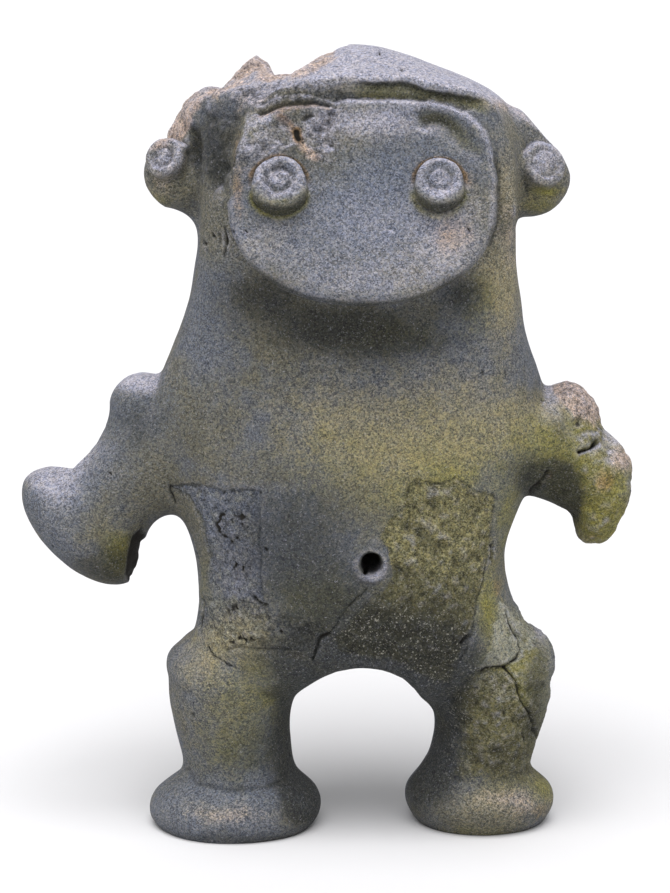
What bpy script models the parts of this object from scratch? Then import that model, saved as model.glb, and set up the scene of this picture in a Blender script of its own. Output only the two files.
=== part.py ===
"""Dogu figurine: a fired clay figure with a tilted face plate, button eyes, ear discs, stub arms and flared feet.

Units are metres, +Z is up and the figure faces -Y. "Left" and "right" are a viewer's, looking at the face.

The free form is written in shares of the figure's height: one share is a 247th of it, so at the real height of
247 mm a number in the form tables is a length in millimetres. Pressed-on and cut features have real sizes.
"""

import math

import bmesh
import bpy
from mathutils import Euler, Matrix, Vector
from mathutils.bvhtree import BVHTree

# Driving sizes, in metres
FIGURE_HEIGHT = 0.247
SHARE = FIGURE_HEIGHT / 247

EYE_DIAMETER = 0.0150
EYE_STAND_OFF = 0.0052
EAR_DISC_DIAMETER = 0.0132
EAR_DISC_STAND_OFF = 0.0034
NAVEL_BORE_DIAMETER = 0.0062
NAVEL_BORE_DEPTH = 0.0260
NAVEL_RING_DIAMETER = 0.0130
NAVEL_RING_HEIGHT = 0.0012
FACE_PLATE_THICKNESS = 0.0090
FACE_RIM_ROUNDING = 0.0022
FACE_DISH_DEPTH = 0.0014
BROW_GROOVE_DIAMETER = 0.0019
BROW_HOLLOW_DEPTH = 0.0024
BUTTON_SINK = 0.0030

# How finely the wet clay forms are blended, and how many triangles the blended body keeps
BLEND_VOXEL = SHARE * 1.4
BLEND_ROUNDS = 6
BODY_TRIANGLES = 6000
RING_POINTS = 24
DISC_STEPS = 24
PLATE_POINTS = 44

# The face plate: its middle, its tilt back from upright, and its outline in its own plane, in shares
FACE_CENTRE = Vector((0.9, -42.0, 203.0))
FACE_TILT = math.radians(18)
FACE_HALF_WIDTH = 40.0
FACE_HALF_HEIGHT = 31.0
FACE_TOP_SQUARENESS = 3.4
FACE_CHIN_SQUARENESS = 2.15

# Where the eyes sit on the plate, across and up from its middle, and how far they look up from it
EYE_PLACES = {"left": (-25.2, 5.4), "right": (22.8, 4.6)}
EYE_LOOK_UP = math.radians(11)

# Ear discs, across and up, with their turn out to the side and their look up
EAR_PLACES = {"left": (-57.4, 212.4), "right": (55.6, 211.2)}
EAR_TURN_OUT = math.radians(24)
EAR_LOOK_UP = math.radians(24)

# A button's profile from its middle to its rim, in shares of its radius: how far out, and how far below its crest
BUTTON_PROFILE = [
    (0.00, 0.04), (0.26, 0.05), (0.38, 0.20), (0.48, 0.18), (0.58, 0.00), (0.82, 0.02), (0.97, 0.16), (1.00, 0.36),
]
# The clay behind the plate, as rings: how far inside the plate's edge, and how far behind its front
FACE_ROOT_RINGS = [(3.0, 4.0), (3.4, 12.0), (6.0, 22.0), (9.0, 32.0)]

# Navel, across and up
NAVEL_PLACE = (3.6, 92.5)

# The groove over the left brow follows the plate's edge between these angles; the hollow is under the right brow
BROW_GROOVE_ANGLES = (98, 138)
BROW_HOLLOW_PLACE = (25.5, 22.5)
BROW_HOLLOW_HALF_SIZES = (12.0, 5.2)
BROW_HOLLOW_TURN = math.radians(-30)

# The clay forms, in shares of the height. One section is a level ring: its middle (x, y, z), half its width, half
# its depth, and its squareness, where 2 is an ellipse.
TRUNK = [
    (0.5, 1.0, 43.5, 42.0, 21.0, 2.2),
    (0.5, 0.0, 51.5, 57.5, 30.0, 2.4),
    (2.2, -0.5, 61.0, 55.0, 33.0, 2.5),
    (-1.0, -1.0, 75.0, 49.2, 34.5, 2.5),
    (-2.8, -1.5, 91.0, 48.2, 35.5, 2.5),
    (-3.0, -1.0, 106.0, 54.5, 35.0, 2.5),
    (-3.0, -0.5, 124.0, 64.0, 34.0, 2.5),
    (-3.0, 0.0, 141.0, 62.4, 33.0, 2.5),
    (-2.0, 0.0, 156.0, 55.2, 33.0, 2.7),
    (-1.0, 0.5, 171.0, 51.0, 33.0, 3.0),
    (-0.2, 1.0, 188.0, 49.0, 33.5, 3.8),
    (0.0, 1.5, 208.0, 49.2, 34.5, 4.6),
    (-0.5, 2.0, 227.0, 51.0, 34.0, 4.0),
    (-1.4, 2.5, 236.0, 40.0, 30.5, 2.8),
    (-1.4, 3.0, 242.5, 20.5, 18.0, 2.2),
    (-1.4, 3.0, 247.4, 7.0, 7.0, 2.0),
]
LEFT_LEG = [
    (-34.0, 0.0, 66.0, 22.0, 25.0, 2.0),
    (-39.5, 0.0, 51.0, 22.0, 26.0, 2.0),
    (-40.8, 0.0, 37.0, 19.0, 23.0, 2.0),
    (-39.0, 0.0, 25.0, 17.8, 20.0, 2.0),
    (-37.6, 0.0, 17.0, 17.2, 18.5, 2.0),
    (-38.6, -0.2, 13.6, 22.6, 22.0, 2.0),
    (-38.8, -0.5, 9.0, 28.2, 26.5, 2.0),
    (-40.0, -0.5, 2.5, 28.4, 26.0, 2.0),
    (-39.6, -0.5, -5.0, 21.0, 20.0, 2.0),
]
RIGHT_LEG = [
    (34.0, 0.0, 66.0, 22.0, 25.0, 2.0),
    (41.0, 0.0, 51.0, 22.4, 26.0, 2.0),
    (42.9, 0.0, 38.0, 17.4, 22.5, 2.0),
    (40.2, 0.0, 25.0, 16.6, 19.5, 2.0),
    (37.4, 0.0, 17.5, 17.2, 18.5, 2.0),
    (38.4, 0.5, 14.4, 21.6, 21.0, 2.0),
    (39.2, 1.2, 9.5, 25.4, 23.0, 2.0),
    (39.4, 3.0, 2.5, 23.4, 20.5, 2.0),
    (39.4, 4.0, -5.0, 17.5, 15.5, 2.0),
]
# An arm's section leans instead: its last number is the lean of its width from level, in degrees
LEFT_ARM = [
    (-38.0, 0.0, 127.0, 25.0, 25.0, -82),
    (-54.0, 0.0, 124.5, 21.5, 22.0, -74),
    (-67.0, 0.0, 118.0, 18.4, 18.5, -58),
    (-75.4, 0.0, 110.0, 15.4, 15.6, -47),
    (-79.6, 0.2, 104.6, 16.4, 15.4, -44),
    (-85.2, 0.5, 98.6, 23.8, 20.5, -45),
    (-90.0, 0.5, 93.8, 24.6, 20.5, -45),
    (-95.6, 0.5, 88.2, 12.0, 10.0, -45),
]
RIGHT_ARM = [
    (38.0, 0.0, 127.0, 23.0, 25.0, 78),
    (50.0, 0.0, 125.0, 19.6, 21.5, 66),
    (61.0, 0.0, 120.6, 16.6, 18.5, 50),
    (70.4, 0.0, 115.0, 15.6, 16.5, 34),
    (76.0, -0.5, 109.6, 13.6, 15.0, 27),
    (77.0, -1.0, 102.5, 10.0, 13.0, 18),
    (75.4, -1.5, 96.0, 7.6, 10.0, 8),
    (74.0, -2.0, 91.0, 4.4, 5.0, 0),
]
# Lumps pressed on: middle, half sizes along x, y and z, and lean about the depth axis in degrees
LUMPS = {
    "left_shoulder_knob": ((-68.0, 0.0, 135.0), (11.6, 13.0, 11.6), 0),
    "right_shoulder_knob": ((65.5, 0.0, 131.4), (10.2, 13.0, 11.6), -14),
    "left_hip_fold": ((-47.5, 0.0, 51.0), (13.8, 23.0, 9.4), 14),
    "right_hip_fold": ((49.0, 0.0, 53.5), (13.8, 23.0, 11.5), -12),
    "left_ear_lobe": ((-53.0, -5.0, 207.4), (13.4, 9.5, 11.4), 12),
    "right_ear_lobe": ((51.6, -5.0, 206.6), (13.6, 9.5, 12.0), -10),
    "right_ear_root": ((45.6, -3.0, 215.6), (9.6, 9.5, 13.6), 38),
    "left_ear_root": ((-47.0, 0.0, 217.0), (11.0, 12.5, 13.0), -30),
    "left_crown_corner": ((-43.2, 0.0, 225.6), (11.0, 13.0, 8.2), 24),
    "crown_stub": ((-34.5, 6.0, 233.6), (6.6, 9.0, 8.6), 0),
}
# The rolled edge that frames the face like a hood: its right half, from the neck to the middle of the crown
HOOD_RIM = [
    (44.4, -22.5, 190.0),
    (44.8, -25.4, 203.0),
    (44.2, -27.4, 216.0),
    (38.2, -28.6, 227.4),
    (22.0, -29.2, 234.0),
    (0.0, -29.2, 236.2),
]
HOOD_RIM_RADIUS = 4.0
HOOD_RIM_TAPER = [0.3, 0.8, 1.0, 1.0, 1.0, 1.0]
# The broken notch in the crown: middle and half sizes
CROWN_NOTCH = ((-21.5, 2.0, 244.5), (6.5, 30.0, 7.0))

# The arch between the legs: an hourglass along the depth axis, so that its edges are soft
ARCH_MIDDLE = (1.0, 31.2)
ARCH_RADIUS = 24.3
ARCH_FLARE = 7.0
ARCH_FLARE_START = 12.0
ARCH_HALF_LENGTH = 40.0
ARCH_STATIONS = 10
ARCH_STEPS = 48

CLAY_COLOUR = (0.155, 0.150, 0.135, 1.0)
CLAY_ROUGHNESS = 0.92


def clear_scene():
    for thing in list(bpy.data.objects):
        bpy.data.objects.remove(thing, do_unlink=True)


def make_collection(name):
    collection = bpy.data.collections.new(name)
    bpy.context.scene.collection.children.link(collection)
    return collection


def make_clay():
    clay = bpy.data.materials.new("fired_clay")
    clay.use_nodes = True
    shader = clay.node_tree.nodes["Principled BSDF"]
    shader.inputs["Base Color"].default_value = CLAY_COLOUR
    shader.inputs["Roughness"].default_value = CLAY_ROUGHNESS
    shader.inputs["Metallic"].default_value = 0.0
    return clay


def add_object(name, mesh, collection):
    thing = bpy.data.objects.new(name, mesh)
    collection.objects.link(thing)
    return thing


def add_from_bmesh(name, bm, collection):
    """Close a bmesh's faces outward, and put it in the scene as an object."""
    bmesh.ops.recalc_face_normals(bm, faces=bm.faces)
    mesh = bpy.data.meshes.new(name)
    bm.to_mesh(mesh)
    bm.free()
    return add_object(name, mesh, collection)


def bake(thing):
    """Turn an object with modifiers into a plain mesh object in world space."""
    bpy.context.view_layer.update()
    seen = thing.evaluated_get(bpy.context.evaluated_depsgraph_get())
    mesh = bpy.data.meshes.new_from_object(seen)
    mesh.transform(thing.matrix_world)
    name = thing.name
    collection = thing.users_collection[0]
    bpy.data.objects.remove(thing, do_unlink=True)
    mesh.name = name
    return add_object(name, mesh, collection)


def add_rings(bm, rings):
    """Bridge rings of points into one closed form."""
    loops = [[bm.verts.new(point) for point in ring] for ring in rings]
    count = len(loops[0])
    for near, far in zip(loops, loops[1:]):
        for i in range(count):
            j = (i + 1) % count
            bm.faces.new((near[i], near[j], far[j], far[i]))
    bm.faces.new(loops[0])
    bm.faces.new(loops[-1])


def rounded(turn, squareness):
    """A point on a unit superellipse: 2 is a circle, and more is squarer."""
    power = 2 / squareness
    across = math.cos(turn)
    up = math.sin(turn)
    return math.copysign(abs(across) ** power, across), math.copysign(abs(up) ** power, up)


def ring_points(middle, half_width, half_depth, lean, squareness):
    """A ring round a middle, with its width leaning from level and its depth along Y."""
    level = Vector((math.cos(lean), 0.0, math.sin(lean)))
    ring = []
    for i in range(RING_POINTS):
        across, deep = rounded(math.tau * i / RING_POINTS, squareness)
        offset = level * half_width * across + Vector((0.0, half_depth * deep, 0.0))
        ring.append((Vector(middle) + offset) * SHARE)
    return ring


def make_loft(name, rings, collection):
    """A form bridged through its rings and rounded by Subdivision Surface."""
    bm = bmesh.new()
    add_rings(bm, rings)
    loft = add_from_bmesh(name, bm, collection)
    smooth = loft.modifiers.new("rounded", "SUBSURF")
    smooth.levels = 2
    smooth.render_levels = 2
    return bake(loft)


def make_upright(name, sections, collection):
    rings = [ring_points(row[:3], row[3], row[4], 0.0, row[5]) for row in sections]
    return make_loft(name, rings, collection)


def make_arm(name, sections, collection):
    rings = [ring_points(row[:3], row[3], row[4], math.radians(row[5]), 2.0) for row in sections]
    return make_loft(name, rings, collection)


def make_ball(name, middle, half_sizes, lean, collection):
    """An ellipsoid; its lean turns it about the depth axis."""
    bm = bmesh.new()
    bmesh.ops.create_uvsphere(bm, u_segments=32, v_segments=20, radius=1.0)
    size = Matrix.Diagonal((*(Vector(half_sizes) * SHARE), 1.0))
    turn = Matrix.Rotation(math.radians(lean), 4, "Y")
    bm.transform(Matrix.Translation(Vector(middle) * SHARE) @ turn @ size)
    return add_from_bmesh(name, bm, collection)


def make_turned(name, profile, steps, collection):
    """A profile of (radius, height) points, run down its outer side and turned about Z."""
    bm = bmesh.new()
    corners = [bm.verts.new((radius, 0.0, height)) for radius, height in profile]
    for upper, lower in zip(corners, corners[1:]):
        bm.edges.new((upper, lower))
    mesh = bpy.data.meshes.new(name)
    bm.to_mesh(mesh)
    bm.free()
    turned = add_object(name, mesh, collection)
    screw = turned.modifiers.new("turned", "SCREW")
    screw.axis = "Z"
    screw.steps = steps
    screw.render_steps = steps
    screw.use_merge_vertices = True
    screw.merge_threshold = 0.00001
    return turned


def make_tube(name, points, radius, collection, taper=None):
    """A rolled coil of clay along smooth points, with closed ends, as a mesh."""
    curve = bpy.data.curves.new(name, "CURVE")
    curve.dimensions = "3D"
    curve.bevel_depth = radius
    curve.bevel_resolution = 3
    curve.resolution_u = 6
    curve.use_fill_caps = True
    spline = curve.splines.new("BEZIER")
    spline.bezier_points.add(len(points) - 1)
    for knot, point, share in zip(spline.bezier_points, points, taper or [1.0] * len(points)):
        knot.co = point
        knot.radius = share
        knot.handle_left_type = "AUTO"
        knot.handle_right_type = "AUTO"
    coil = bake(add_object(name, curve, collection))
    bm = bmesh.new()
    bm.from_mesh(coil.data)
    bmesh.ops.remove_doubles(bm, verts=bm.verts, dist=0.00001)
    bmesh.ops.recalc_face_normals(bm, faces=bm.faces)
    bm.to_mesh(coil.data)
    bm.free()
    return coil


def apply_cut(thing, cutter, operation):
    """Join or cut one object with another for good."""
    cut = thing.modifiers.new(cutter.name, "BOOLEAN")
    cut.operation = operation
    cut.solver = "EXACT"
    cut.object = cutter
    return bake(thing)


def face_frame():
    """Where the face plate's own axes lie: x across it, y up it and z out of it."""
    turn = Matrix.Rotation(math.pi / 2 - FACE_TILT, 4, "X")
    return Matrix.Translation(FACE_CENTRE * SHARE) @ turn


def plate_outline(turn):
    """A point of the plate's edge in its own plane, in shares: squarish at the brow and round at the chin."""
    squareness = FACE_TOP_SQUARENESS if math.sin(turn) > 0 else FACE_CHIN_SQUARENESS
    across, up = rounded(turn, squareness)
    return Vector((FACE_HALF_WIDTH * across, FACE_HALF_HEIGHT * up, 0.0))


def plate_ring(inset, out):
    """The plate's edge drawn in by a real length, at a real height out of the plate."""
    ring = []
    for i in range(PLATE_POINTS):
        edge = plate_outline(math.tau * i / PLATE_POINTS) * SHARE
        point = edge * (1 - inset / edge.length)
        point.z = out
        ring.append(face_frame() @ point)
    return ring


def make_face_plate(collection):
    """A thick slab with a rounded rim, a little dished in front."""
    rounding = FACE_RIM_ROUNDING
    half_way = FACE_HALF_HEIGHT * SHARE / 2
    rings = [
        plate_ring(half_way, -FACE_DISH_DEPTH),
        plate_ring(rounding * 3, -FACE_DISH_DEPTH / 2),
        plate_ring(rounding, 0.0),
        plate_ring(rounding * 0.3, -rounding * 0.4),
        plate_ring(0.0, -rounding * 1.2),
        plate_ring(rounding * 0.3, -rounding * 2.4),
        plate_ring(rounding * 2, -FACE_PLATE_THICKNESS),
    ]
    bm = bmesh.new()
    add_rings(bm, rings)
    return add_from_bmesh("face_plate", bm, collection)


def make_face_root(collection):
    """The thick clay behind the plate, which carries the chin out from the neck."""
    rings = [plate_ring(inset * SHARE, -behind * SHARE) for inset, behind in FACE_ROOT_RINGS]
    bm = bmesh.new()
    add_rings(bm, rings)
    return add_from_bmesh("face_root", bm, collection)


def make_button(name, diameter, stand_off, collection):
    """A pressed-on disc with a ring groove round a raised pupil."""
    edge = diameter / 2
    profile = [(edge * out, stand_off - edge * below) for out, below in BUTTON_PROFILE]
    profile += [(edge, -BUTTON_SINK), (0.0, -BUTTON_SINK)]
    return make_turned(name, profile, DISC_STEPS, collection)


def make_arch(collection):
    """The hourglass that opens the arch between the legs."""
    profile = []
    for i in range(ARCH_STATIONS + 1):
        along = ARCH_HALF_LENGTH * (1 - 2 * i / ARCH_STATIONS)
        past = max(0.0, abs(along) - ARCH_FLARE_START) / (ARCH_HALF_LENGTH - ARCH_FLARE_START)
        profile.append(((ARCH_RADIUS + ARCH_FLARE * past ** 2) * SHARE, along * SHARE))
    closed = [(0.0, profile[0][1])] + profile + [(0.0, profile[-1][1])]
    arch = make_turned("leg_arch", closed, ARCH_STEPS, collection)
    arch.rotation_euler = Euler((math.pi / 2, 0.0, 0.0))
    arch.location = Vector((ARCH_MIDDLE[0], 0.0, ARCH_MIDDLE[1])) * SHARE
    return arch


def join_meshes(name, things, collection):
    """Put several closed forms in one mesh, overlapping as they lie."""
    bm = bmesh.new()
    for thing in things:
        bm.from_mesh(thing.data)
        bpy.data.objects.remove(thing, do_unlink=True)
    return add_from_bmesh(name, bm, collection)


def blend_clay(forms, collection):
    """Press the forms into one body: remesh them together, smooth the joints and thin the faces."""
    body = join_meshes("clay_body", forms, collection)
    blend = body.modifiers.new("pressed_together", "REMESH")
    blend.mode = "VOXEL"
    blend.voxel_size = BLEND_VOXEL
    body = bake(body)
    rub = body.modifiers.new("rubbed_smooth", "SMOOTH")
    rub.factor = 0.5
    rub.iterations = BLEND_ROUNDS
    body = bake(body)
    thin = body.modifiers.new("thinned", "DECIMATE")
    body.data.calc_loop_triangles()
    thin.ratio = BODY_TRIANGLES / len(body.data.loop_triangles)
    return bake(body)


def make_body(collection):
    """Everything that the potter's fingers ran together."""
    arch = make_arch(collection)
    forms = [apply_cut(make_upright("trunk", TRUNK, collection), arch, "DIFFERENCE")]
    forms.append(make_upright("left_leg", LEFT_LEG, collection))
    forms.append(make_upright("right_leg", RIGHT_LEG, collection))
    forms.append(make_arm("left_arm", LEFT_ARM, collection))
    forms.append(make_arm("right_arm", RIGHT_ARM, collection))
    for name, (middle, half_sizes, lean) in LUMPS.items():
        forms.append(make_ball(name, middle, half_sizes, lean, collection))
    half = [Vector(point) for point in HOOD_RIM]
    other = [Vector((-x, y, z)) for x, y, z in reversed(HOOD_RIM[:-1])]
    rim = [point * SHARE for point in half + other]
    taper = HOOD_RIM_TAPER + HOOD_RIM_TAPER[-2::-1]
    forms.append(make_tube("hood_rim", rim, HOOD_RIM_RADIUS * SHARE, collection, taper))
    forms.append(make_face_root(collection))
    bpy.data.objects.remove(arch, do_unlink=True)
    return blend_clay(forms, collection)


def surface_seat(tree, across, up):
    """Where a level ray from the front meets the body, and which way the clay faces there."""
    start = Vector((across * SHARE, -FIGURE_HEIGHT, up * SHARE))
    place, facing, _, _ = tree.ray_cast(start, Vector((0.0, 1.0, 0.0)))
    return place, facing


def add_eyes(collection):
    eyes = []
    for side, (across, up) in EYE_PLACES.items():
        eye = make_button(f"{side}_eye", EYE_DIAMETER, EYE_STAND_OFF, collection)
        eye.location = face_frame() @ (Vector((across, up, 0.0)) * SHARE - Vector((0.0, 0.0, FACE_DISH_DEPTH)))
        eye.rotation_euler = Euler((math.pi / 2 - FACE_TILT - EYE_LOOK_UP, 0.0, 0.0))
        eyes.append(eye)
    return eyes


def add_ear_discs(tree, collection):
    discs = []
    for side, (across, up) in EAR_PLACES.items():
        disc = make_button(f"{side}_ear_disc", EAR_DISC_DIAMETER, EAR_DISC_STAND_OFF, collection)
        disc.location = surface_seat(tree, across, up)[0]
        turn_out = math.copysign(EAR_TURN_OUT, across)
        disc.rotation_euler = Euler((math.pi / 2 - EAR_LOOK_UP, 0.0, turn_out))
        discs.append(disc)
    return discs


def make_navel(tree, collection):
    """The raised ring round the navel, and the bore through its middle, square to the belly."""
    place, facing = surface_seat(tree, *NAVEL_PLACE)
    turn = facing.to_track_quat("Z", "Y")
    bore_radius = NAVEL_BORE_DIAMETER / 2
    ring_radius = NAVEL_RING_DIAMETER / 2
    crest = (bore_radius + ring_radius) / 2
    ring = make_turned("navel_ring", [
        (0.0, NAVEL_RING_HEIGHT * 0.6),
        (bore_radius, NAVEL_RING_HEIGHT * 0.8),
        (crest, NAVEL_RING_HEIGHT),
        (ring_radius, -NAVEL_RING_HEIGHT),
        (ring_radius, -BUTTON_SINK),
        (0.0, -BUTTON_SINK),
    ], DISC_STEPS, collection)
    bm = bmesh.new()
    both_ways = NAVEL_BORE_DEPTH * 2
    bmesh.ops.create_cone(
        bm, cap_ends=True, segments=DISC_STEPS, radius1=bore_radius, radius2=bore_radius, depth=both_ways
    )
    bore = add_from_bmesh("navel_bore", bm, collection)
    for thing in (ring, bore):
        thing.location = place
        thing.rotation_euler = turn.to_euler()
    return ring, bore


def make_brow_cuts(collection):
    """The groove over the left brow and the hollow under the right one."""
    first, last = BROW_GROOVE_ANGLES
    steps = 6
    route = []
    for i in range(steps + 1):
        turn = math.radians(first + (last - first) * i / steps)
        route.append(face_frame() @ (plate_outline(turn) * SHARE))
    groove = make_tube("brow_groove", route, BROW_GROOVE_DIAMETER / 2, collection)
    bm = bmesh.new()
    bmesh.ops.create_uvsphere(bm, u_segments=24, v_segments=12, radius=1.0)
    half_across, half_up = (size * SHARE for size in BROW_HOLLOW_HALF_SIZES)
    size = Matrix.Diagonal((half_across, half_up, BROW_HOLLOW_DEPTH, 1.0))
    place = Vector(BROW_HOLLOW_PLACE).to_3d() * SHARE - Vector((0.0, 0.0, FACE_DISH_DEPTH / 2))
    turn = Matrix.Rotation(BROW_HOLLOW_TURN, 4, "Z")
    bm.transform(face_frame() @ Matrix.Translation(place) @ turn @ size)
    hollow = add_from_bmesh("brow_hollow", bm, collection)
    return [groove, hollow]


def make_ground(collection):
    """A block under the feet, which cuts both soles level."""
    bm = bmesh.new()
    bmesh.ops.create_cube(bm, size=FIGURE_HEIGHT)
    bmesh.ops.translate(bm, verts=bm.verts, vec=(0.0, 0.0, -FIGURE_HEIGHT / 2))
    return add_from_bmesh("ground_under_soles", bm, collection)


def stand_on_origin(body, others, collection):
    """Carry the figure and its cutters on an empty, so that the middle of its footprint box is the origin."""
    bpy.context.view_layer.update()
    corners = [Vector(corner) for corner in body.evaluated_get(bpy.context.evaluated_depsgraph_get()).bound_box]
    stand = add_object("figure_stand", None, collection)
    for thing in [body] + others:
        thing.parent = stand
    low = Vector(map(min, zip(*corners)))
    high = Vector(map(max, zip(*corners)))
    stand.location = (-(low.x + high.x) / 2, -(low.y + high.y) / 2, 0.0)


def main():
    clear_scene()
    figurine = make_collection("dogu_figurine")
    cutters = make_collection("cutters")
    body = make_body(figurine)
    body.name = "dogu_figurine"
    bm = bmesh.new()
    bm.from_mesh(body.data)
    tree = BVHTree.FromBMesh(bm)
    bm.free()
    navel_ring, navel_bore = make_navel(tree, cutters)
    added = [make_face_plate(cutters)] + add_eyes(cutters) + add_ear_discs(tree, cutters) + [navel_ring]
    notch = make_ball("crown_notch", CROWN_NOTCH[0], CROWN_NOTCH[1], 0, cutters)
    cut_away = make_brow_cuts(cutters) + [notch, navel_bore, make_ground(cutters)]
    steps = [(thing, "UNION") for thing in added] + [(thing, "DIFFERENCE") for thing in cut_away]
    for thing, operation in steps:
        thing.hide_render = True
        thing.display_type = "WIRE"
        change = body.modifiers.new(thing.name, "BOOLEAN")
        change.operation = operation
        change.solver = "EXACT"
        change.object = thing
    body.data.materials.append(make_clay())
    body.data.shade_smooth()
    stand_on_origin(body, [thing for thing, _ in steps], figurine)


main()
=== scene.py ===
# %% [markdown]
# # A fired clay figurine
# The figure is one piece of fired clay, about 25 cm tall. A potter built it from coils, pressed the
# joints smooth, added a face plate, button eyes and ear discs, and fired it. A long time in the
# ground stained it, and its breaks were filled again. The scene follows the same order: build the
# clay body from rings, press the pieces on, damage it, and stain it, with painted shade and painted
# highlight laid on along with the stains. Left and right are the photograph's.

# %% Load the fixed frame
import math

import bmesh
import bpy
import numpy as np
from mathutils import Matrix, Vector


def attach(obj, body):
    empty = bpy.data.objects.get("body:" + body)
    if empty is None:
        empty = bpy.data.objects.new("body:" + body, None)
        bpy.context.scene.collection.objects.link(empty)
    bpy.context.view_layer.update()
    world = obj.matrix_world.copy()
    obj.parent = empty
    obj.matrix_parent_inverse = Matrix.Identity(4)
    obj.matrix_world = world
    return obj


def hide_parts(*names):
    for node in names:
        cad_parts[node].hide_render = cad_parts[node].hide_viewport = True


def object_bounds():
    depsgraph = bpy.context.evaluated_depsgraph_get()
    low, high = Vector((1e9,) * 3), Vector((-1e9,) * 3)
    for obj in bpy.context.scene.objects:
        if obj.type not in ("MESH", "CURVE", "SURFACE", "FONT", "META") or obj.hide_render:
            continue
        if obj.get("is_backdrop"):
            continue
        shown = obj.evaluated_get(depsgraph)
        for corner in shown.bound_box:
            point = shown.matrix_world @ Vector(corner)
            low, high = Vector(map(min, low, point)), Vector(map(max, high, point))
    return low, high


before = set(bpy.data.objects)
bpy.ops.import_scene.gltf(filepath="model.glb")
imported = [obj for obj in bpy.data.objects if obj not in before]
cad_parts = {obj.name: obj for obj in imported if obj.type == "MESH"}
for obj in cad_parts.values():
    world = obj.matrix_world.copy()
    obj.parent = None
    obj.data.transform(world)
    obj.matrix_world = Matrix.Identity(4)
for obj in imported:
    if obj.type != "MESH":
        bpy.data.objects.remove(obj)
cad_low, cad_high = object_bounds()
print("frame box", [round((b - a) * 1000, 1) for a, b in zip(cad_low, cad_high)], "mm")

# %% [markdown]
# ## Measures
# A hand-built figure has no exact sizes, so its form is kept in shares of its own height. One share is
# a 247th, which is a millimetre at the real height. The body's middle line isn't the middle of its
# box, because the left arm reaches further than the right one and the face stands out in front.

# %% Shares and the middle line
SHARES_TALL = 247.2
SHARE = (cad_high[2] - cad_low[2]) / SHARES_TALL
BODY_AXIS = Vector((9.35, 7.59, 0.0))
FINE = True
print("one share is", round(SHARE * 1000, 4), "mm")


def in_place(point):
    """A point in shares from the body's middle line, as a place in the scene."""
    return (Vector(point) + BODY_AXIS) * SHARE


# %% [markdown]
# ## The camera
# The photograph looks at the figure's waist from a little above, with a long lens. Setting the camera
# first gives the later steps a way to place cracks and stains where the photograph shows them: every
# point of the clay has a place in the picture, and a mark is drawn through that place.

# %% The photograph's view
PICTURE_WIDE = 670
PICTURE_TALL = 893
LENS_MM = 100.0
SENSOR_MM = 36.0
VIEW_DISTANCE = 780.0
VIEW_RISE = math.radians(10)
VIEW_TARGET = (-7.2, 0.0, 122.5)

target = in_place(VIEW_TARGET)
back_and_up = Vector((0.0, -math.cos(VIEW_RISE), math.sin(VIEW_RISE)))
view_from = target + back_and_up * VIEW_DISTANCE * SHARE
bpy.ops.object.camera_add(location=view_from, rotation=(math.pi / 2 - VIEW_RISE, 0.0, 0.0))
camera = bpy.context.object
camera.name = "photo_camera"
camera.data.lens = LENS_MM
camera.data.sensor_width = SENSOR_MM
bpy.context.scene.camera = camera
print("camera at", [round(c, 3) for c in view_from])


def picture_places(points):
    """Where scene points fall in the photograph, in pixels from its top left corner."""
    forward = -np.array(back_and_up)
    upward = np.array((0.0, math.sin(VIEW_RISE), math.cos(VIEW_RISE)))
    reach = points - np.array(view_from)
    depth = reach @ forward
    pixels = PICTURE_TALL * LENS_MM / SENSOR_MM
    across = PICTURE_WIDE / 2 + pixels * reach[:, 0] / depth
    down = PICTURE_TALL / 2 - pixels * (reach @ upward) / depth
    return np.stack([across, down], axis=1)


# %% [markdown]
# ## Small helpers
# Blender's operators work on whatever is selected, so each helper first selects exactly one object.
# Loading the frame leaves its solids selected, and an operator run then would change them too.

# %% Selecting, applying and cutting
def pick(thing):
    bpy.ops.object.select_all(action="DESELECT")
    thing.select_set(True)
    bpy.context.view_layer.objects.active = thing


def apply_modifier(thing, kind, **settings):
    pick(thing)
    modifier = thing.modifiers.new(kind.lower(), kind)
    for setting, value in settings.items():
        setattr(modifier, setting, value)
    bpy.ops.object.modifier_apply(modifier=modifier.name)


def combine(thing, other, operation):
    """Join another closed form to a thing, or cut it out of it."""
    apply_modifier(thing, "BOOLEAN", object=other, operation=operation, solver="MANIFOLD")
    bpy.data.objects.remove(other, do_unlink=True)


def settle(thing):
    """Put a thing's place in its mesh, and turn its faces outward."""
    pick(thing)
    bpy.ops.object.transform_apply(location=True, rotation=True, scale=True)
    bpy.ops.object.mode_set(mode="EDIT")
    bpy.ops.mesh.select_all(action="SELECT")
    bpy.ops.mesh.normals_make_consistent(inside=False)
    bpy.ops.object.mode_set(mode="OBJECT")
    return thing


# %% [markdown]
# ## Building up with rings
# Coil building lays one ring of clay on another. The same can be done in edit mode: a circle is
# extruded, and each new ring is set to its own width, depth and squareness. A loft through curves
# would do too, but extruding keeps the points of every ring in step, so the skin between them never
# twists. Each point remembers its turn round the ring in a layer, which extrude copies along.

# %% Ring builder
def rounded(turn, squareness):
    """A point on a unit superellipse: 2 is a circle, and more is squarer."""
    power = 2 / squareness
    across = math.cos(turn)
    up = math.sin(turn)
    return math.copysign(abs(across) ** power, across), math.copysign(abs(up) ** power, up)


def shape_ring(form, outline):
    """Set the selected ring: outline gives a point for each turn."""
    bm = bmesh.from_edit_mesh(form.data)
    turn = bm.verts.layers.float["turn"]
    for vert in bm.verts:
        if vert.select:
            vert.co = outline(vert[turn])
    bmesh.update_edit_mesh(form.data)


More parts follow.
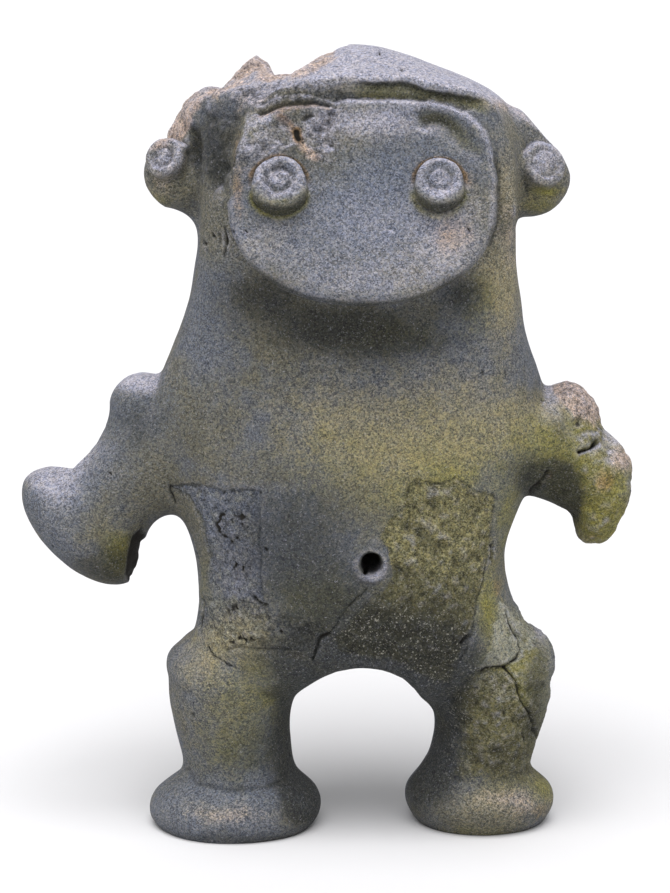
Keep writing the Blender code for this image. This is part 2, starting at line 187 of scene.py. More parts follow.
def build_up(name, outlines, ring_points=24, soften=True):
    """Extrude a circle through a list of outlines, and close it at both ends."""
    bpy.ops.object.select_all(action="DESELECT")
    bpy.ops.mesh.primitive_circle_add(vertices=ring_points, radius=1.0, fill_type="NGON")
    form = bpy.context.object
    form.name = name
    bpy.ops.object.mode_set(mode="EDIT")
    bm = bmesh.from_edit_mesh(form.data)
    turn = bm.verts.layers.float.new("turn")
    for vert in bm.verts:
        vert[turn] = math.atan2(vert.co.y, vert.co.x)
    shape_ring(form, outlines[0])
    for outline in outlines[1:]:
        bpy.ops.mesh.extrude_region_move()
        shape_ring(form, outline)
    bpy.ops.object.mode_set(mode="OBJECT")
    settle(form)
    if soften:
        apply_modifier(form, "SUBSURF", levels=2, render_levels=2)
    return form


def level_ring(x, y, z, half_width, half_depth, squareness):
    def outline(turn):
        across, deep = rounded(turn, squareness)
        return in_place((x + half_width * across, y + half_depth * deep, z))
    return outline


def leaning_ring(x, y, z, half_width, half_depth, lean):
    def outline(turn):
        across = half_width * math.cos(turn)
        deep = half_depth * math.sin(turn)
        tilt = math.radians(lean)
        return in_place((x + across * math.cos(tilt), y + deep, z + across * math.sin(tilt)))
    return outline


# %% [markdown]
# ## The trunk
# Head, neck and belly are one bell-shaped tube, nearly as wide at the head as at the hips. Its front
# is rather flat, so each ring has a squareness, highest behind the face.

# %% Build the trunk
TRUNK = [
    (0.5, 1.0, 43.5, 42.0, 21.0, 2.2),
    (0.5, 0.0, 51.5, 57.5, 30.0, 2.4),
    (2.2, -0.5, 61.0, 55.0, 33.0, 2.5),
    (-1.0, -1.0, 75.0, 49.2, 34.5, 2.5),
    (-2.8, -1.5, 91.0, 48.2, 35.5, 2.5),
    (-3.0, -1.0, 106.0, 54.5, 35.0, 2.5),
    (-3.0, -0.5, 124.0, 64.0, 34.0, 2.5),
    (-3.0, 0.0, 141.0, 62.4, 33.0, 2.5),
    (-2.0, 0.0, 156.0, 55.2, 33.0, 2.7),
    (-1.0, 0.5, 171.0, 51.0, 33.0, 3.0),
    (-0.2, 1.0, 188.0, 49.0, 33.5, 3.8),
    (0.0, 1.5, 208.0, 49.2, 34.5, 4.6),
    (-0.5, 2.0, 227.0, 51.0, 34.0, 4.0),
    (-1.4, 2.5, 236.0, 40.0, 30.5, 2.8),
    (-1.4, 3.0, 242.5, 20.5, 18.0, 2.2),
    (-1.4, 3.0, 247.4, 7.0, 7.0, 2.0),
]
trunk = build_up("trunk", [level_ring(*row) for row in TRUNK])
print("trunk faces", len(trunk.data.polygons))

# %% [markdown]
# ## The legs
# The legs are short and stout, pinched above flared feet. They are level rings again. The arch
# between them was wiped out with a thumb, so it is round and its edges are soft: an hourglass lying
# on its side cuts it.

# %% Build the legs and wipe out the arch
LEFT_LEG = [
    (-34.0, 0.0, 66.0, 22.0, 25.0, 2.0),
    (-39.5, 0.0, 51.0, 22.0, 26.0, 2.0),
    (-40.8, 0.0, 37.0, 19.0, 23.0, 2.0),
    (-39.0, 0.0, 25.0, 17.8, 20.0, 2.0),
    (-37.6, 0.0, 17.0, 17.2, 18.5, 2.0),
    (-38.6, -0.2, 13.6, 22.6, 22.0, 2.0),
    (-38.8, -0.5, 9.0, 28.2, 26.5, 2.0),
    (-40.0, -0.5, 2.5, 28.4, 26.0, 2.0),
    (-39.6, -0.5, -5.0, 21.0, 20.0, 2.0),
]
RIGHT_LEG = [
    (34.0, 0.0, 66.0, 22.0, 25.0, 2.0),
    (41.0, 0.0, 51.0, 22.4, 26.0, 2.0),
    (42.9, 0.0, 38.0, 17.4, 22.5, 2.0),
    (40.2, 0.0, 25.0, 16.6, 19.5, 2.0),
    (37.4, 0.0, 17.5, 17.2, 18.5, 2.0),
    (38.4, 0.5, 14.4, 21.6, 21.0, 2.0),
    (39.2, 1.2, 9.5, 25.4, 23.0, 2.0),
    (39.4, 3.0, 2.5, 23.4, 20.5, 2.0),
    (39.4, 4.0, -5.0, 17.5, 15.5, 2.0),
]
ARCH_MIDDLE = (1.0, 31.2)
ARCH_RADIUS = 24.3
ARCH_FLARE = 7.0
ARCH_FLARE_START = 12.0
ARCH_HALF_LENGTH = 40.0
ARCH_STATIONS = 10


def arch_ring(along):
    past = max(0.0, abs(along) - ARCH_FLARE_START) / (ARCH_HALF_LENGTH - ARCH_FLARE_START)
    radius = ARCH_RADIUS + ARCH_FLARE * past ** 2

    def outline(turn):
        x = ARCH_MIDDLE[0] + radius * math.cos(turn)
        z = ARCH_MIDDLE[1] + radius * math.sin(turn)
        return in_place((x, along, z))
    return outline


stations = [ARCH_HALF_LENGTH * (1 - 2 * i / ARCH_STATIONS) for i in range(ARCH_STATIONS + 1)]
arch = build_up("leg_arch", [arch_ring(along) for along in stations], ring_points=64, soften=False)
combine(trunk, arch, "DIFFERENCE")
left_leg = build_up("left_leg", [level_ring(*row) for row in LEFT_LEG])
right_leg = build_up("right_leg", [level_ring(*row) for row in RIGHT_LEG])
print("trunk faces after the arch", len(trunk.data.polygons))

# %% [markdown]
# ## The arms
# Both arms slope down and out. The left one still has its flared hand, like the feet. The right one
# is a worn wedge with its end broken off. Their rings lean, square to the arm.

# %% Build the arms
LEFT_ARM = [
    (-38.0, 0.0, 127.0, 25.0, 25.0, -82),
    (-54.0, 0.0, 124.5, 21.5, 22.0, -74),
    (-67.0, 0.0, 118.0, 18.4, 18.5, -58),
    (-75.4, 0.0, 110.0, 15.4, 15.6, -47),
    (-79.6, 0.2, 104.6, 16.4, 15.4, -44),
    (-85.2, 0.5, 98.6, 23.8, 20.5, -45),
    (-90.0, 0.5, 93.8, 24.6, 20.5, -45),
    (-95.6, 0.5, 88.2, 12.0, 10.0, -45),
]
RIGHT_ARM = [
    (38.0, 0.0, 127.0, 23.0, 25.0, 78),
    (50.0, 0.0, 125.0, 19.6, 21.5, 66),
    (61.0, 0.0, 120.6, 16.6, 18.5, 50),
    (70.4, 0.0, 115.0, 15.6, 16.5, 34),
    (76.0, -0.5, 109.6, 13.6, 15.0, 27),
    (77.0, -1.0, 102.5, 10.0, 13.0, 18),
    (75.4, -1.5, 96.0, 7.6, 10.0, 8),
    (74.0, -2.0, 91.0, 4.4, 5.0, 0),
]
left_arm = build_up("left_arm", [leaning_ring(*row) for row in LEFT_ARM])
right_arm = build_up("right_arm", [leaning_ring(*row) for row in RIGHT_ARM])
print("arm faces", len(left_arm.data.polygons), len(right_arm.data.polygons))

# %% [markdown]
# ## Lumps pressed on
# Knobs at the shoulders, folds at the hips and lobes for the ears were rolled as balls and pressed
# on. Each is a sphere, squeezed to its size, that sinks into the body.

# %% Press the lumps on
LUMPS = {
    "left_shoulder_knob": ((-67.0, 0.0, 134.6), (11.2, 13.0, 11.6), 0),
    "right_shoulder_knob": ((65.5, 0.0, 131.4), (10.2, 13.0, 11.6), -14),
    "left_hip_fold": ((-47.5, 0.0, 51.0), (13.8, 23.0, 9.4), 14),
    "right_hip_fold": ((49.0, 0.0, 53.5), (13.8, 23.0, 11.5), -12),
    "left_ear_lobe": ((-53.0, -5.0, 207.4), (13.4, 9.5, 11.4), 12),
    "right_ear_lobe": ((51.6, -5.0, 206.6), (13.6, 9.5, 12.0), -10),
    "right_ear_root": ((47.6, -3.0, 215.6), (10.4, 9.5, 15.0), 42),
    "left_ear_root": ((-47.0, 0.0, 217.0), (11.0, 12.5, 13.0), -30),
    "left_crown_corner": ((-43.2, -2.0, 225.6), (11.5, 15.0, 9.0), 24),
    "left_ear_fillet": ((-46.8, -3.0, 198.0), (7.0, 8.0, 6.5), 30),
    "left_arch_corner": ((-25.5, 0.0, 45.0), (6.2, 19.0, 7.0), 0),
    "right_arch_corner": ((27.5, 0.0, 45.0), (6.0, 19.0, 7.0), 0),
}


def press_ball(name, middle, half_sizes, lean):
    bpy.ops.object.select_all(action="DESELECT")
    bpy.ops.mesh.primitive_uv_sphere_add(
        segments=40, ring_count=24, radius=SHARE, location=in_place(middle),
        rotation=(0.0, math.radians(lean), 0.0), scale=half_sizes,
    )
    ball = bpy.context.object
    ball.name = name
    return settle(ball)


lumps = [press_ball(name, *sizes) for name, sizes in LUMPS.items()]
print("lumps", len(lumps))

# %% [markdown]
# The crown broke away on the left. One bit of its wall still stands there like a tooth. A cone with
# few sides has the flat faces and the sharp edges of a break.

# %% Stand the broken wall up
WALL_MIDDLE = (-32.5, 5.0, 235.0)
WALL_HEIGHT = 20.0
WALL_FOOT_RADIUS = 13.0
WALL_TOP_RADIUS = 5.0
WALL_SIDES = 7
WALL_TURN = 0.4

bpy.ops.object.select_all(action="DESELECT")
bpy.ops.mesh.primitive_cone_add(
    vertices=WALL_SIDES, radius1=WALL_FOOT_RADIUS * SHARE, radius2=WALL_TOP_RADIUS * SHARE,
    depth=WALL_HEIGHT * SHARE, location=in_place(WALL_MIDDLE), rotation=(0.0, 0.0, WALL_TURN),
)
broken_wall = bpy.context.object
broken_wall.name = "broken_wall"
lumps.append(settle(broken_wall))
print("wall faces", len(broken_wall.data.polygons))

# %% [markdown]
# ## The hood's rim
# The top of the head overhangs the face a little, like a hood, and its edge runs down beside the face
# and fades out on the neck. On the left side it broke off. A rolled coil of clay makes such
# an edge, and a second one fills the gap between it and the face. A curve with a round bevel is that
# coil, and its point radius thins it towards the ends.

# %% Roll the rim
HOOD_RIM = [
    (44.4, -22.5, 190.0),
    (44.8, -25.4, 203.0),
    (44.2, -27.4, 216.0),
    (38.2, -28.6, 227.4),
    (22.0, -29.2, 234.0),
    (0.0, -29.2, 236.2),
]
HOOD_RIM_RADIUS = 4.0
HOOD_RIM_TAPER = [0.3, 0.8, 1.0, 1.0, 1.0, 1.0]
BROKEN_SIDE = [(-20.0, -29.0, 234.2), (-33.0, -28.0, 229.0)]
BROKEN_SIDE_TAPER = [0.8, 0.4]
HOOD_FILL = [(42.6, -23.5, 184.0), (43.0, -27.0, 198.0), (42.4, -29.0, 212.0), (37.5, -30.5, 223.0)]
HOOD_FILL_RADIUS = 4.2
HOOD_FILL_TAPER = [0.5, 1.0, 1.0, 0.5]


def roll_coil(name, places, radius, taper):
    """A closed coil of clay along smooth places, made a mesh."""
    bpy.ops.object.select_all(action="DESELECT")
    bpy.ops.curve.primitive_bezier_curve_add()
    coil = bpy.context.object
    coil.name = name
    coil.matrix_world = Matrix.Identity(4)
    line = coil.data
    line.splines.clear()
    line.bevel_depth = radius * SHARE
    line.bevel_resolution = 5
    line.use_fill_caps = True
    spline = line.splines.new("BEZIER")
    spline.bezier_points.add(len(places) - 1)
    for knot, place, share in zip(spline.bezier_points, places, taper):
        knot.co = place
        knot.radius = share
        knot.handle_left_type = "AUTO"
        knot.handle_right_type = "AUTO"
    pick(coil)
    bpy.ops.object.convert(target="MESH")
    coil = bpy.context.object
    apply_modifier(coil, "WELD", merge_threshold=SHARE * 0.01)
    return settle(coil)


rim_places = [in_place(place) for place in HOOD_RIM + BROKEN_SIDE]
hood_rim = roll_coil("hood_rim", rim_places, HOOD_RIM_RADIUS, HOOD_RIM_TAPER + BROKEN_SIDE_TAPER)
fill_places = [in_place(place) for place in HOOD_FILL]
hood_fill = roll_coil("hood_fill", fill_places, HOOD_FILL_RADIUS, HOOD_FILL_TAPER)
print("rim faces", len(hood_rim.data.polygons))

# %% [markdown]
# ## The face plate
# The face is a thick slab that leans back and looks up. Its brow is squarish and its chin is round,
# so the outline takes one squareness above and another below. The slab is a disc, inset for its
# rounded rim and its shallow dish, and extruded back for its thickness. A second, deeper form behind
# it carries the chin.

# %% The plate's own axes and outline
FACE_CENTRE = (0.9, -42.0, 203.0)
FACE_TILT = math.radians(18)
FACE_HALF_WIDTH = 40.0
FACE_HALF_HEIGHT = 31.0
FACE_TOP_SQUARENESS = 3.4
FACE_CHIN_SQUARENESS = 2.15
FACE_PLATE_THICKNESS = 0.0090
FACE_RIM_ROUNDING = 0.0022
FACE_DISH_DEPTH = 0.0014
FACE_ROOT_RINGS = [(3.0, 4.0), (3.4, 12.0), (6.0, 22.0), (9.0, 32.0)]

face_frame = Matrix.Translation(in_place(FACE_CENTRE)) @ Matrix.Rotation(math.pi / 2 - FACE_TILT, 4, "X")


def plate_edge(turn):
    """A point of the plate's edge in its own plane, in metres."""
    squareness = FACE_TOP_SQUARENESS if math.sin(turn) > 0 else FACE_CHIN_SQUARENESS
    across, up = rounded(turn, squareness)
    return Vector((FACE_HALF_WIDTH * across, FACE_HALF_HEIGHT * up, 0.0)) * SHARE


def plate_ring(inset, out):
    """The plate's edge drawn in by a length, at a height out of the plate."""
    def outline(turn):
        edge = plate_edge(turn)
        point = edge * (1 - inset / edge.length)
        point.z = out
        return face_frame @ point
    return outline


# %% Make the plate and the clay behind it
rounding = FACE_RIM_ROUNDING
PLATE_RINGS = [
    (FACE_HALF_HEIGHT * SHARE * 0.75, -FACE_DISH_DEPTH),
    (FACE_HALF_HEIGHT * SHARE * 0.5, -FACE_DISH_DEPTH),
    (rounding * 3, -FACE_DISH_DEPTH * 0.5),
    (rounding, 0.0),
    (rounding * 0.6, -rounding * 0.1),
    (rounding * 0.3, -rounding * 0.4),
    (0.0, -rounding * 1.2),
    (rounding * 0.3, -rounding * 2.4),
    (rounding * 2, -FACE_PLATE_THICKNESS),
]
face_plate = build_up("face_plate", [plate_ring(*row) for row in PLATE_RINGS], ring_points=96, soften=False)
root_rows = [(inset * SHARE, -behind * SHARE) for inset, behind in FACE_ROOT_RINGS]
face_root = build_up("face_root", [plate_ring(*row) for row in root_rows], ring_points=96, soften=False)
print("plate faces", len(face_plate.data.polygons))

# %% [markdown]
# ## Pressing the body together
# The forms still overlap as separate shells. Remeshing in small cubes turns them into one skin, as
# wet fingers do, and a smoothing pass then runs the joints together. How far the smoothing reaches
# depends on the size of the cubes and the number of passes, so the two are set together.

# %% One skin
BLEND_VOXEL = 1.0
BLEND_REACH = 3.43

body = trunk
pick(body)
for form in [left_leg, right_leg, left_arm, right_arm, hood_rim, hood_fill, face_root] + lumps:
    form.select_set(True)
bpy.ops.object.join()
body.name = "clay_figurine"
apply_modifier(body, "REMESH", mode="VOXEL", voxel_size=BLEND_VOXEL * SHARE)
passes = round((BLEND_REACH / BLEND_VOXEL) ** 2)
apply_modifier(body, "SMOOTH", factor=0.5, iterations=passes)
print("body faces", len(body.data.polygons), "smoothing passes", passes)

# %% [markdown]
# ## Eyes and ear discs
# The eyes and the discs on the ears are small buttons of clay, each with a ring pressed round a
# raised pupil. A button is a short stack of rings: the profile gives, for each ring, how far out it
# lies and how far below the top. Eyes sit on the plate and look a little higher than it does. Ear
# discs sit where a level line from the front meets the lobe, and turn outward.

# %% Shape a button
RINGED = [
    (0.05, 0.10),
    (0.14, 0.07),
    (0.32, 0.06),
    (0.40, 0.18),
    (0.49, 0.18),
    (0.57, 0.04),
    (0.72, 0.00),
    (0.88, 0.04),
    (0.97, 0.14),
    (1.00, 0.34),
]
PLAIN = [
    (0.05, 0.07),
    (0.48, 0.06),
    (0.55, 0.13),
    (0.62, 0.13),
    (0.69, 0.04),
    (0.88, 0.04),
    (0.97, 0.14),
    (1.00, 0.34),
]
BUTTON_SINK = 3.0
EYE_DIAMETERS = {"left": 15.9, "right": 14.5}
EYE_STAND_OFF = 5.2
EYE_LOOK_UP = math.radians(11)
EYE_PLACES = {"left": (-24.4, 4.7), "right": (22.4, 4.8)}
EAR_DISC_DIAMETERS = {"left": 13.2, "right": 14.4}
EAR_DISC_PROFILES = {"left": RINGED, "right": PLAIN}
EAR_DISC_STAND_OFF = 3.6
EAR_PLACES = {"left": (-58.2, 213.0), "right": (55.2, 211.0)}
EAR_TURN_OUT = math.radians(24)
EAR_LOOK_UP = math.radians(24)


def round_ring(seat, radius, height):
    """A circle about a seat's own Z axis, in shares."""
    def outline(turn):
        return seat @ (Vector((radius * math.cos(turn), radius * math.sin(turn), height)) * SHARE)
    return outline


def turned_form(name, seat, profile):
    """A turned form on a seat, from (radius, height) pairs that run outward and down."""
    return build_up(name, [round_ring(seat, *row) for row in profile], ring_points=48, soften=False)


def press_button(name, seat, diameter, stand_off, profile):
    edge = diameter / 2
    rows = [(edge * out, stand_off - edge * below) for out, below in profile]
    rows += [(edge, -BUTTON_SINK), (edge * 0.5, -BUTTON_SINK)]
    return turned_form(name, seat, rows)


def front_seat(across, up):
    """Where a level line from the front meets the body, and which way the clay faces there."""
    start = in_place((across, -120.0, up))
    _, place, facing, _ = body.ray_cast(start, Vector((0.0, 1.0, 0.0)))
    return place, facing


# %% Press the eyes and the ear discs on
buttons = []
eye_seats = []
for side, (across, up) in EYE_PLACES.items():
    place = face_frame @ (Vector((across, up, 0.0)) * SHARE - Vector((0.0, 0.0, FACE_DISH_DEPTH)))
    seat = Matrix.Translation(place) @ Matrix.Rotation(math.pi / 2 - FACE_TILT - EYE_LOOK_UP, 4, "X")
    eye_seats.append(seat)
    buttons.append(press_button(side + "_eye", seat, EYE_DIAMETERS[side], EYE_STAND_OFF, RINGED))
for side, (across, up) in EAR_PLACES.items():
    place, facing = front_seat(across, up)
    turn_out = Matrix.Rotation(math.copysign(EAR_TURN_OUT, across), 4, "Z")
    look_up = Matrix.Rotation(math.pi / 2 - EAR_LOOK_UP, 4, "X")
    seat = Matrix.Translation(place) @ turn_out @ look_up
    diameter = EAR_DISC_DIAMETERS[side]
    profile = EAR_DISC_PROFILES[side]
    buttons.append(press_button(side + "_ear_disc", seat, diameter, EAR_DISC_STAND_OFF, profile))
print("buttons", [button.name for button in buttons])

# %% [markdown]
# ## The navel
# A low ring of clay surrounds the hole that let the steam out in the fire. The ring is turned like a
# button, and the bore is a plain round form, square to the belly, that will be cut out.

# %% Make the navel's ring and its bore
NAVEL_PLACE = (3.6, 92.5)
NAVEL_BORE_DIAMETER = 6.2
NAVEL_BORE_DEPTH = 26.0
NAVEL_RING_DIAMETER = 13.0
NAVEL_RING_HEIGHT = 1.2

navel_at, navel_facing = front_seat(*NAVEL_PLACE)
navel_seat = Matrix.Translation(navel_at) @ navel_facing.to_track_quat("Z", "Y").to_matrix().to_4x4()
bore_radius = NAVEL_BORE_DIAMETER / 2
ring_radius = NAVEL_RING_DIAMETER / 2
navel_ring = turned_form("navel_ring", navel_seat, [
    (bore_radius * 0.5, NAVEL_RING_HEIGHT * 0.6),
    (bore_radius, NAVEL_RING_HEIGHT * 0.8),
    ((bore_radius + ring_radius) / 2, NAVEL_RING_HEIGHT),
    (ring_radius, -NAVEL_RING_HEIGHT),
    (ring_radius, -BUTTON_SINK),
    (ring_radius * 0.5, -BUTTON_SINK),
])
navel_bore = turned_form("navel_bore", navel_seat, [
    (bore_radius * 1.25, NAVEL_BORE_DEPTH),
    (bore_radius * 1.25, 0.8),
    (bore_radius, -0.8),
    (bore_radius, -NAVEL_BORE_DEPTH),
])
print("navel at", [round(c, 4) for c in navel_at])

# %% [markdown]
# ## The notch in the crown
# The crown lost a piece, which left a notch. A ball that is cut out gives it.

# %% Make the cutter
CROWN_NOTCH = ((-21.5, 2.0, 244.5), (6.5, 30.0, 7.0))
crown_notch = press_ball("crown_notch", *CROWN_NOTCH, 0)
print("cutter faces", len(crown_notch.data.polygons))

# %% Join and cut
for form in [face_plate, navel_ring] + buttons:
    combine(body, form, "UNION")
for form in [crown_notch, navel_bore]:
    combine(body, form, "DIFFERENCE")
print("body faces after the cuts", len(body.data.polygons))

# %% [markdown]
# ## A finer skin
# Breaks and cracks need more points than the body has. A finer remesh gives them everywhere, and one
# light smoothing pass takes the steps out of it. The relief is then worked out for all points at once
# with numpy, which is far quicker than a loop. Each mark raises or sinks the clay along its own
# outward direction.

# %% Remesh finely
FINE_VOXEL = 0.55 if FINE else 0.9
apply_modifier(body, "REMESH", mode="VOXEL", voxel_size=FINE_VOXEL * SHARE)
apply_modifier(body, "SMOOTH", factor=0.5, iterations=2)
print("skin points", len(body.data.vertices))


# %% Read and move the points
def skin_points():
    flat = np.empty(len(body.data.vertices) * 3)
    body.data.vertices.foreach_get("co", flat)
    return flat.reshape(-1, 3)


def skin_facing():
    flat = np.empty(len(body.data.vertices) * 3)
    body.data.vertex_normals.foreach_get("vector", flat)
    return flat.reshape(-1, 3)


def raise_skin(heights):
    """Move every point out along its facing, by its height in shares."""
    moved = skin_points() + skin_facing() * heights[:, None] * SHARE
    body.data.vertices.foreach_set("co", moved.ravel())
    body.data.update()


# %% Smooth one place
edge_ends = np.empty(len(body.data.edges) * 2, dtype=np.int64)
body.data.edges.foreach_get("vertices", edge_ends)
first_end, second_end = edge_ends.reshape(-1, 2).T


def neighbour_average(places, first, second):
    """The middle of each point's neighbours. Points without an edge in the lists stay where they are."""
    count = np.bincount(first, minlength=len(places)) + np.bincount(second, minlength=len(places))
    average = places.copy()
    for axis in range(3):
        total = np.bincount(first, weights=places[second, axis], minlength=len(places))
        total += np.bincount(second, weights=places[first, axis], minlength=len(places))
        average[:, axis] = np.where(count > 0, total / np.maximum(count, 1), places[:, axis])
    return average


def calm(amount, passes):
    """Rub the skin smooth where amount is above 0, as a wet finger does."""
    places = skin_points()
    share = np.clip(amount, 0.0, 1.0)[:, None]
    busy = (share[first_end, 0] > 0.01) | (share[second_end, 0] > 0.01)
    touched = np.unique(np.concatenate([first_end[busy], second_end[busy]]))
    new_number = np.zeros(len(places), dtype=np.int64)
    new_number[touched] = np.arange(len(touched))
    part, part_share = places[touched], share[touched]
    first, second = new_number[first_end[busy]], new_number[second_end[busy]]
    for _ in range(passes):
        part += part_share * (neighbour_average(part, first, second) - part)
    places[touched] = part
    body.data.vertices.foreach_set("co", places.ravel())
    body.data.update()


print("edges between points", len(first_end))

# %% [markdown]
# ## Noise for hand-made surfaces
# Hands, grit and weather leave marks at every size. A lattice of random values, blended smoothly
# between its corners, gives such unevenness. The seed fixes it, so the same figure comes out each
# time.

# %% Lattice noise
NOISE_TABLE = np.random.default_rng(1877).random(4096)


def lattice(corner):
    """A random value for each corner. The large primes spread the corners over the table."""
    mixed = corner[:, 0] * 374761393 + corner[:, 1] * 668265263 + corner[:, 2] * 2147483647
    mixed = (mixed ^ (mixed >> 13)) * 1274126177
    return NOISE_TABLE[(mixed ^ (mixed >> 16)) & 4095]


def grain(points, size, seed=0):
    """Smooth noise from -1 to 1; size is its coarseness in shares."""
    spot = points / (size * SHARE) + seed * 17.31 + 1000.0
    corner = np.floor(spot).astype(np.int64)
    part = spot - corner
    part = part * part * (3 - 2 * part)
    total = np.zeros(len(points))
    for step in np.ndindex(2, 2, 2):
        step = np.array(step)
        weight = np.prod(np.where(step, part, 1 - part), axis=1)
        total += weight * lattice(corner + step)
    return total * 2 - 1


def rough(points, size, octaves, seed=0, where=None):
    """Several sizes of noise together, each half as coarse and half as strong as the last."""
    total = np.zeros(len(points))
    chosen = slice(None) if where is None else np.where(where > 0)[0]
    part = points[chosen]
    for octave in range(octaves):
        total[chosen] += grain(part, size * 0.5 ** octave, seed + octave) * 0.5 ** octave
    return total


def ramp(value, low, high):
    """0 below low, 1 above high, and smooth between."""
    part = np.clip((value - low) / (high - low), 0.0, 1.0)
    return part * part * (3 - 2 * part)


# %% Hand-made unevenness
points = skin_points()
uneven = 0.45 * grain(points, 26, 1) + 0.28 * grain(points, 11, 2) + 0.12 * grain(points, 4.5, 3)
raise_skin(uneven)
print("unevenness", round(uneven.min(), 2), "to", round(uneven.max(), 2), "shares")

# %% [markdown]
# ## The break's outline
# From the front, the broken crown has a jagged outline. Whatever stands above that outline in the
# photograph is lowered to it, straight down, as if it had snapped off. A little noise keeps the new
# face rough. The right ear's upper edge is cut the same way.

# %% Snap the crown off
BREAK_OUTLINE = [
    (160, 138), (171, 130), (178, 114), (187, 102), (200, 91), (211, 87), (223, 89), (231, 80), (240, 70),
    (250, 62), (256, 58), (262, 63), (268, 66), (274, 76), (290, 77), (300, 71), (314, 62), (326, 55),
    (338, 50), (348, 46),
]
SHARES_PER_PIXEL = 0.305
RIGHT_EAR_OUTLINE = [
    (508, 97), (516, 103), (528, 117), (546, 138), (561, 153), (568, 168), (572, 180), (574, 192),
]


def snap_off(outline, unevenness):
    """Lower the points above an outline in the picture until they lie on it."""
    points = skin_points()
    places = picture_places(points)
    across, down = np.array(outline, dtype=float).T
    chosen = (places[:, 0] > across[0]) & (places[:, 0] < across[-1])
    down_here = np.interp(places[:, 0], across, down)
    down_here += unevenness * rough(points, 6, 4, 100, where=chosen)
    above = np.where(chosen, np.maximum(down_here - places[:, 1], 0.0), 0.0)
    points[:, 2] -= above * SHARES_PER_PIXEL * SHARE
    body.data.vertices.foreach_set("co", points.ravel())
    body.data.update()
    return int((above > 0).sum())


print("points lowered", snap_off(BREAK_OUTLINE, 2.2), "and", snap_off(RIGHT_EAR_OUTLINE, 0.6))
apply_modifier(body, "SMOOTH", factor=0.4, iterations=1)

# %% [markdown]
# ## Marks through the camera
# Cracks, patches and chips are drawn as lines and outlines in the photograph's pixels. Unless it is
# told otherwise, a mark only takes on clay that faces the camera, so nothing comes through to the
# back. A little noise is added to each point's place first, which makes every drawn edge ragged as
# clay is.

# %% Measure in the picture
WOBBLE_PIXELS = 2.2
FAR_AWAY = 99.0


def measure_skin():
    """Each point, its facing, how far it faces the camera, and its place in the picture."""
    points = skin_points()
    facing = skin_facing()
    return points, facing, facing @ np.array(back_and_up), picture_places(points)


points, facing, toward, places = measure_skin()
wobble = WOBBLE_PIXELS * np.stack([rough(points, 5, 4, 20), rough(points, 5, 4, 30)], axis=1)
places += wobble
heights = np.zeros(len(points))
masks = {}


def from_line(route, least_toward=0.0):
    """How far each point lies from a line in the picture, in shares."""
    route = np.array(route, dtype=float)
    low = route.min(axis=0) - 40
    high = route.max(axis=0) + 40
    near = np.where(((places > low) & (places < high)).all(axis=1) & (toward > least_toward))[0]
    best = np.full(len(near), FAR_AWAY)
    for start, end in zip(route, route[1:]):
        along = end - start
        offset = places[near] - start
        part = np.clip(offset @ along / (along @ along), 0.0, 1.0)
        best = np.minimum(best, np.linalg.norm(offset - part[:, None] * along, axis=1))
    distance = np.full(len(points), FAR_AWAY)
    distance[near] = best * SHARES_PER_PIXEL
    return distance


def near_line(route, core, reach, least_toward=0.0):
    """1 along a line in the picture, as far as its core, and 0 beyond its reach, in shares."""
    return 1 - ramp(from_line(route, least_toward), core, reach)


def within(outline, soft=0.8, least_toward=0.0):
    """1 inside an outline in the picture and 0 outside it, with a soft edge in shares."""
    distance = from_line(outline + outline[:1], least_toward)
    inside = np.zeros(len(points), dtype=bool)
    for (x1, y1), (x2, y2) in zip(outline, outline[1:] + outline[:1]):
        crosses = (places[:, 1] > y1) != (places[:, 1] > y2)
        if y1 != y2:
            at = x1 + (places[:, 1] - y1) / (y2 - y1) * (x2 - x1)
            inside ^= crosses & (places[:, 0] < at)
    return ramp(np.where(inside, distance, -distance), -soft, soft) * (distance < FAR_AWAY)


def spot(x, y, wide, tall, least_toward=-0.1):
    """A soft round spot in the picture, strongest in its middle."""
    away = ((places[:, 0] - x) / wide) ** 2 + ((places[:, 1] - y) / tall) ** 2
    return np.exp(-1.3 * away) * ramp(toward, least_toward, least_toward + 0.3)


def mark(name, amount):
    """Keep the stronger of two marks of one kind."""
    masks[name] = np.maximum(masks.get(name, 0.0), np.clip(amount, 0.0, 1.0))


def crack(route, width, depth, darkness=1.0):
    """A thin gap of uneven width, painted dark inside as shade: its width and depth are in shares."""
    distance = from_line(route)
    near = distance < width * 3
    uneven = 0.75 + 0.45 * rough(points, 2.4, 2, 90, where=near)
    shape = 1 - ramp(distance / np.maximum(uneven, 0.2), width * 0.2, width)
    heights[:] -= depth * shape
    seen = 1 - ramp(distance / np.maximum(uneven, 0.2), width * 0.1, width * 0.7)
    mark("crevice", seen * darkness * np.clip(uneven, 0.0, 1.0))


print("points that face the camera", int((toward > 0).sum()))

# %% [markdown]
# ## Blended seams
# The potter rubbed the hood's right side into the head, wiped the gap over the left brow shut, and
# rounded the arch into the legs. The plate's upper left corner has worn away. Each place is an
# outline, and the clay inside is smoothed many times over.

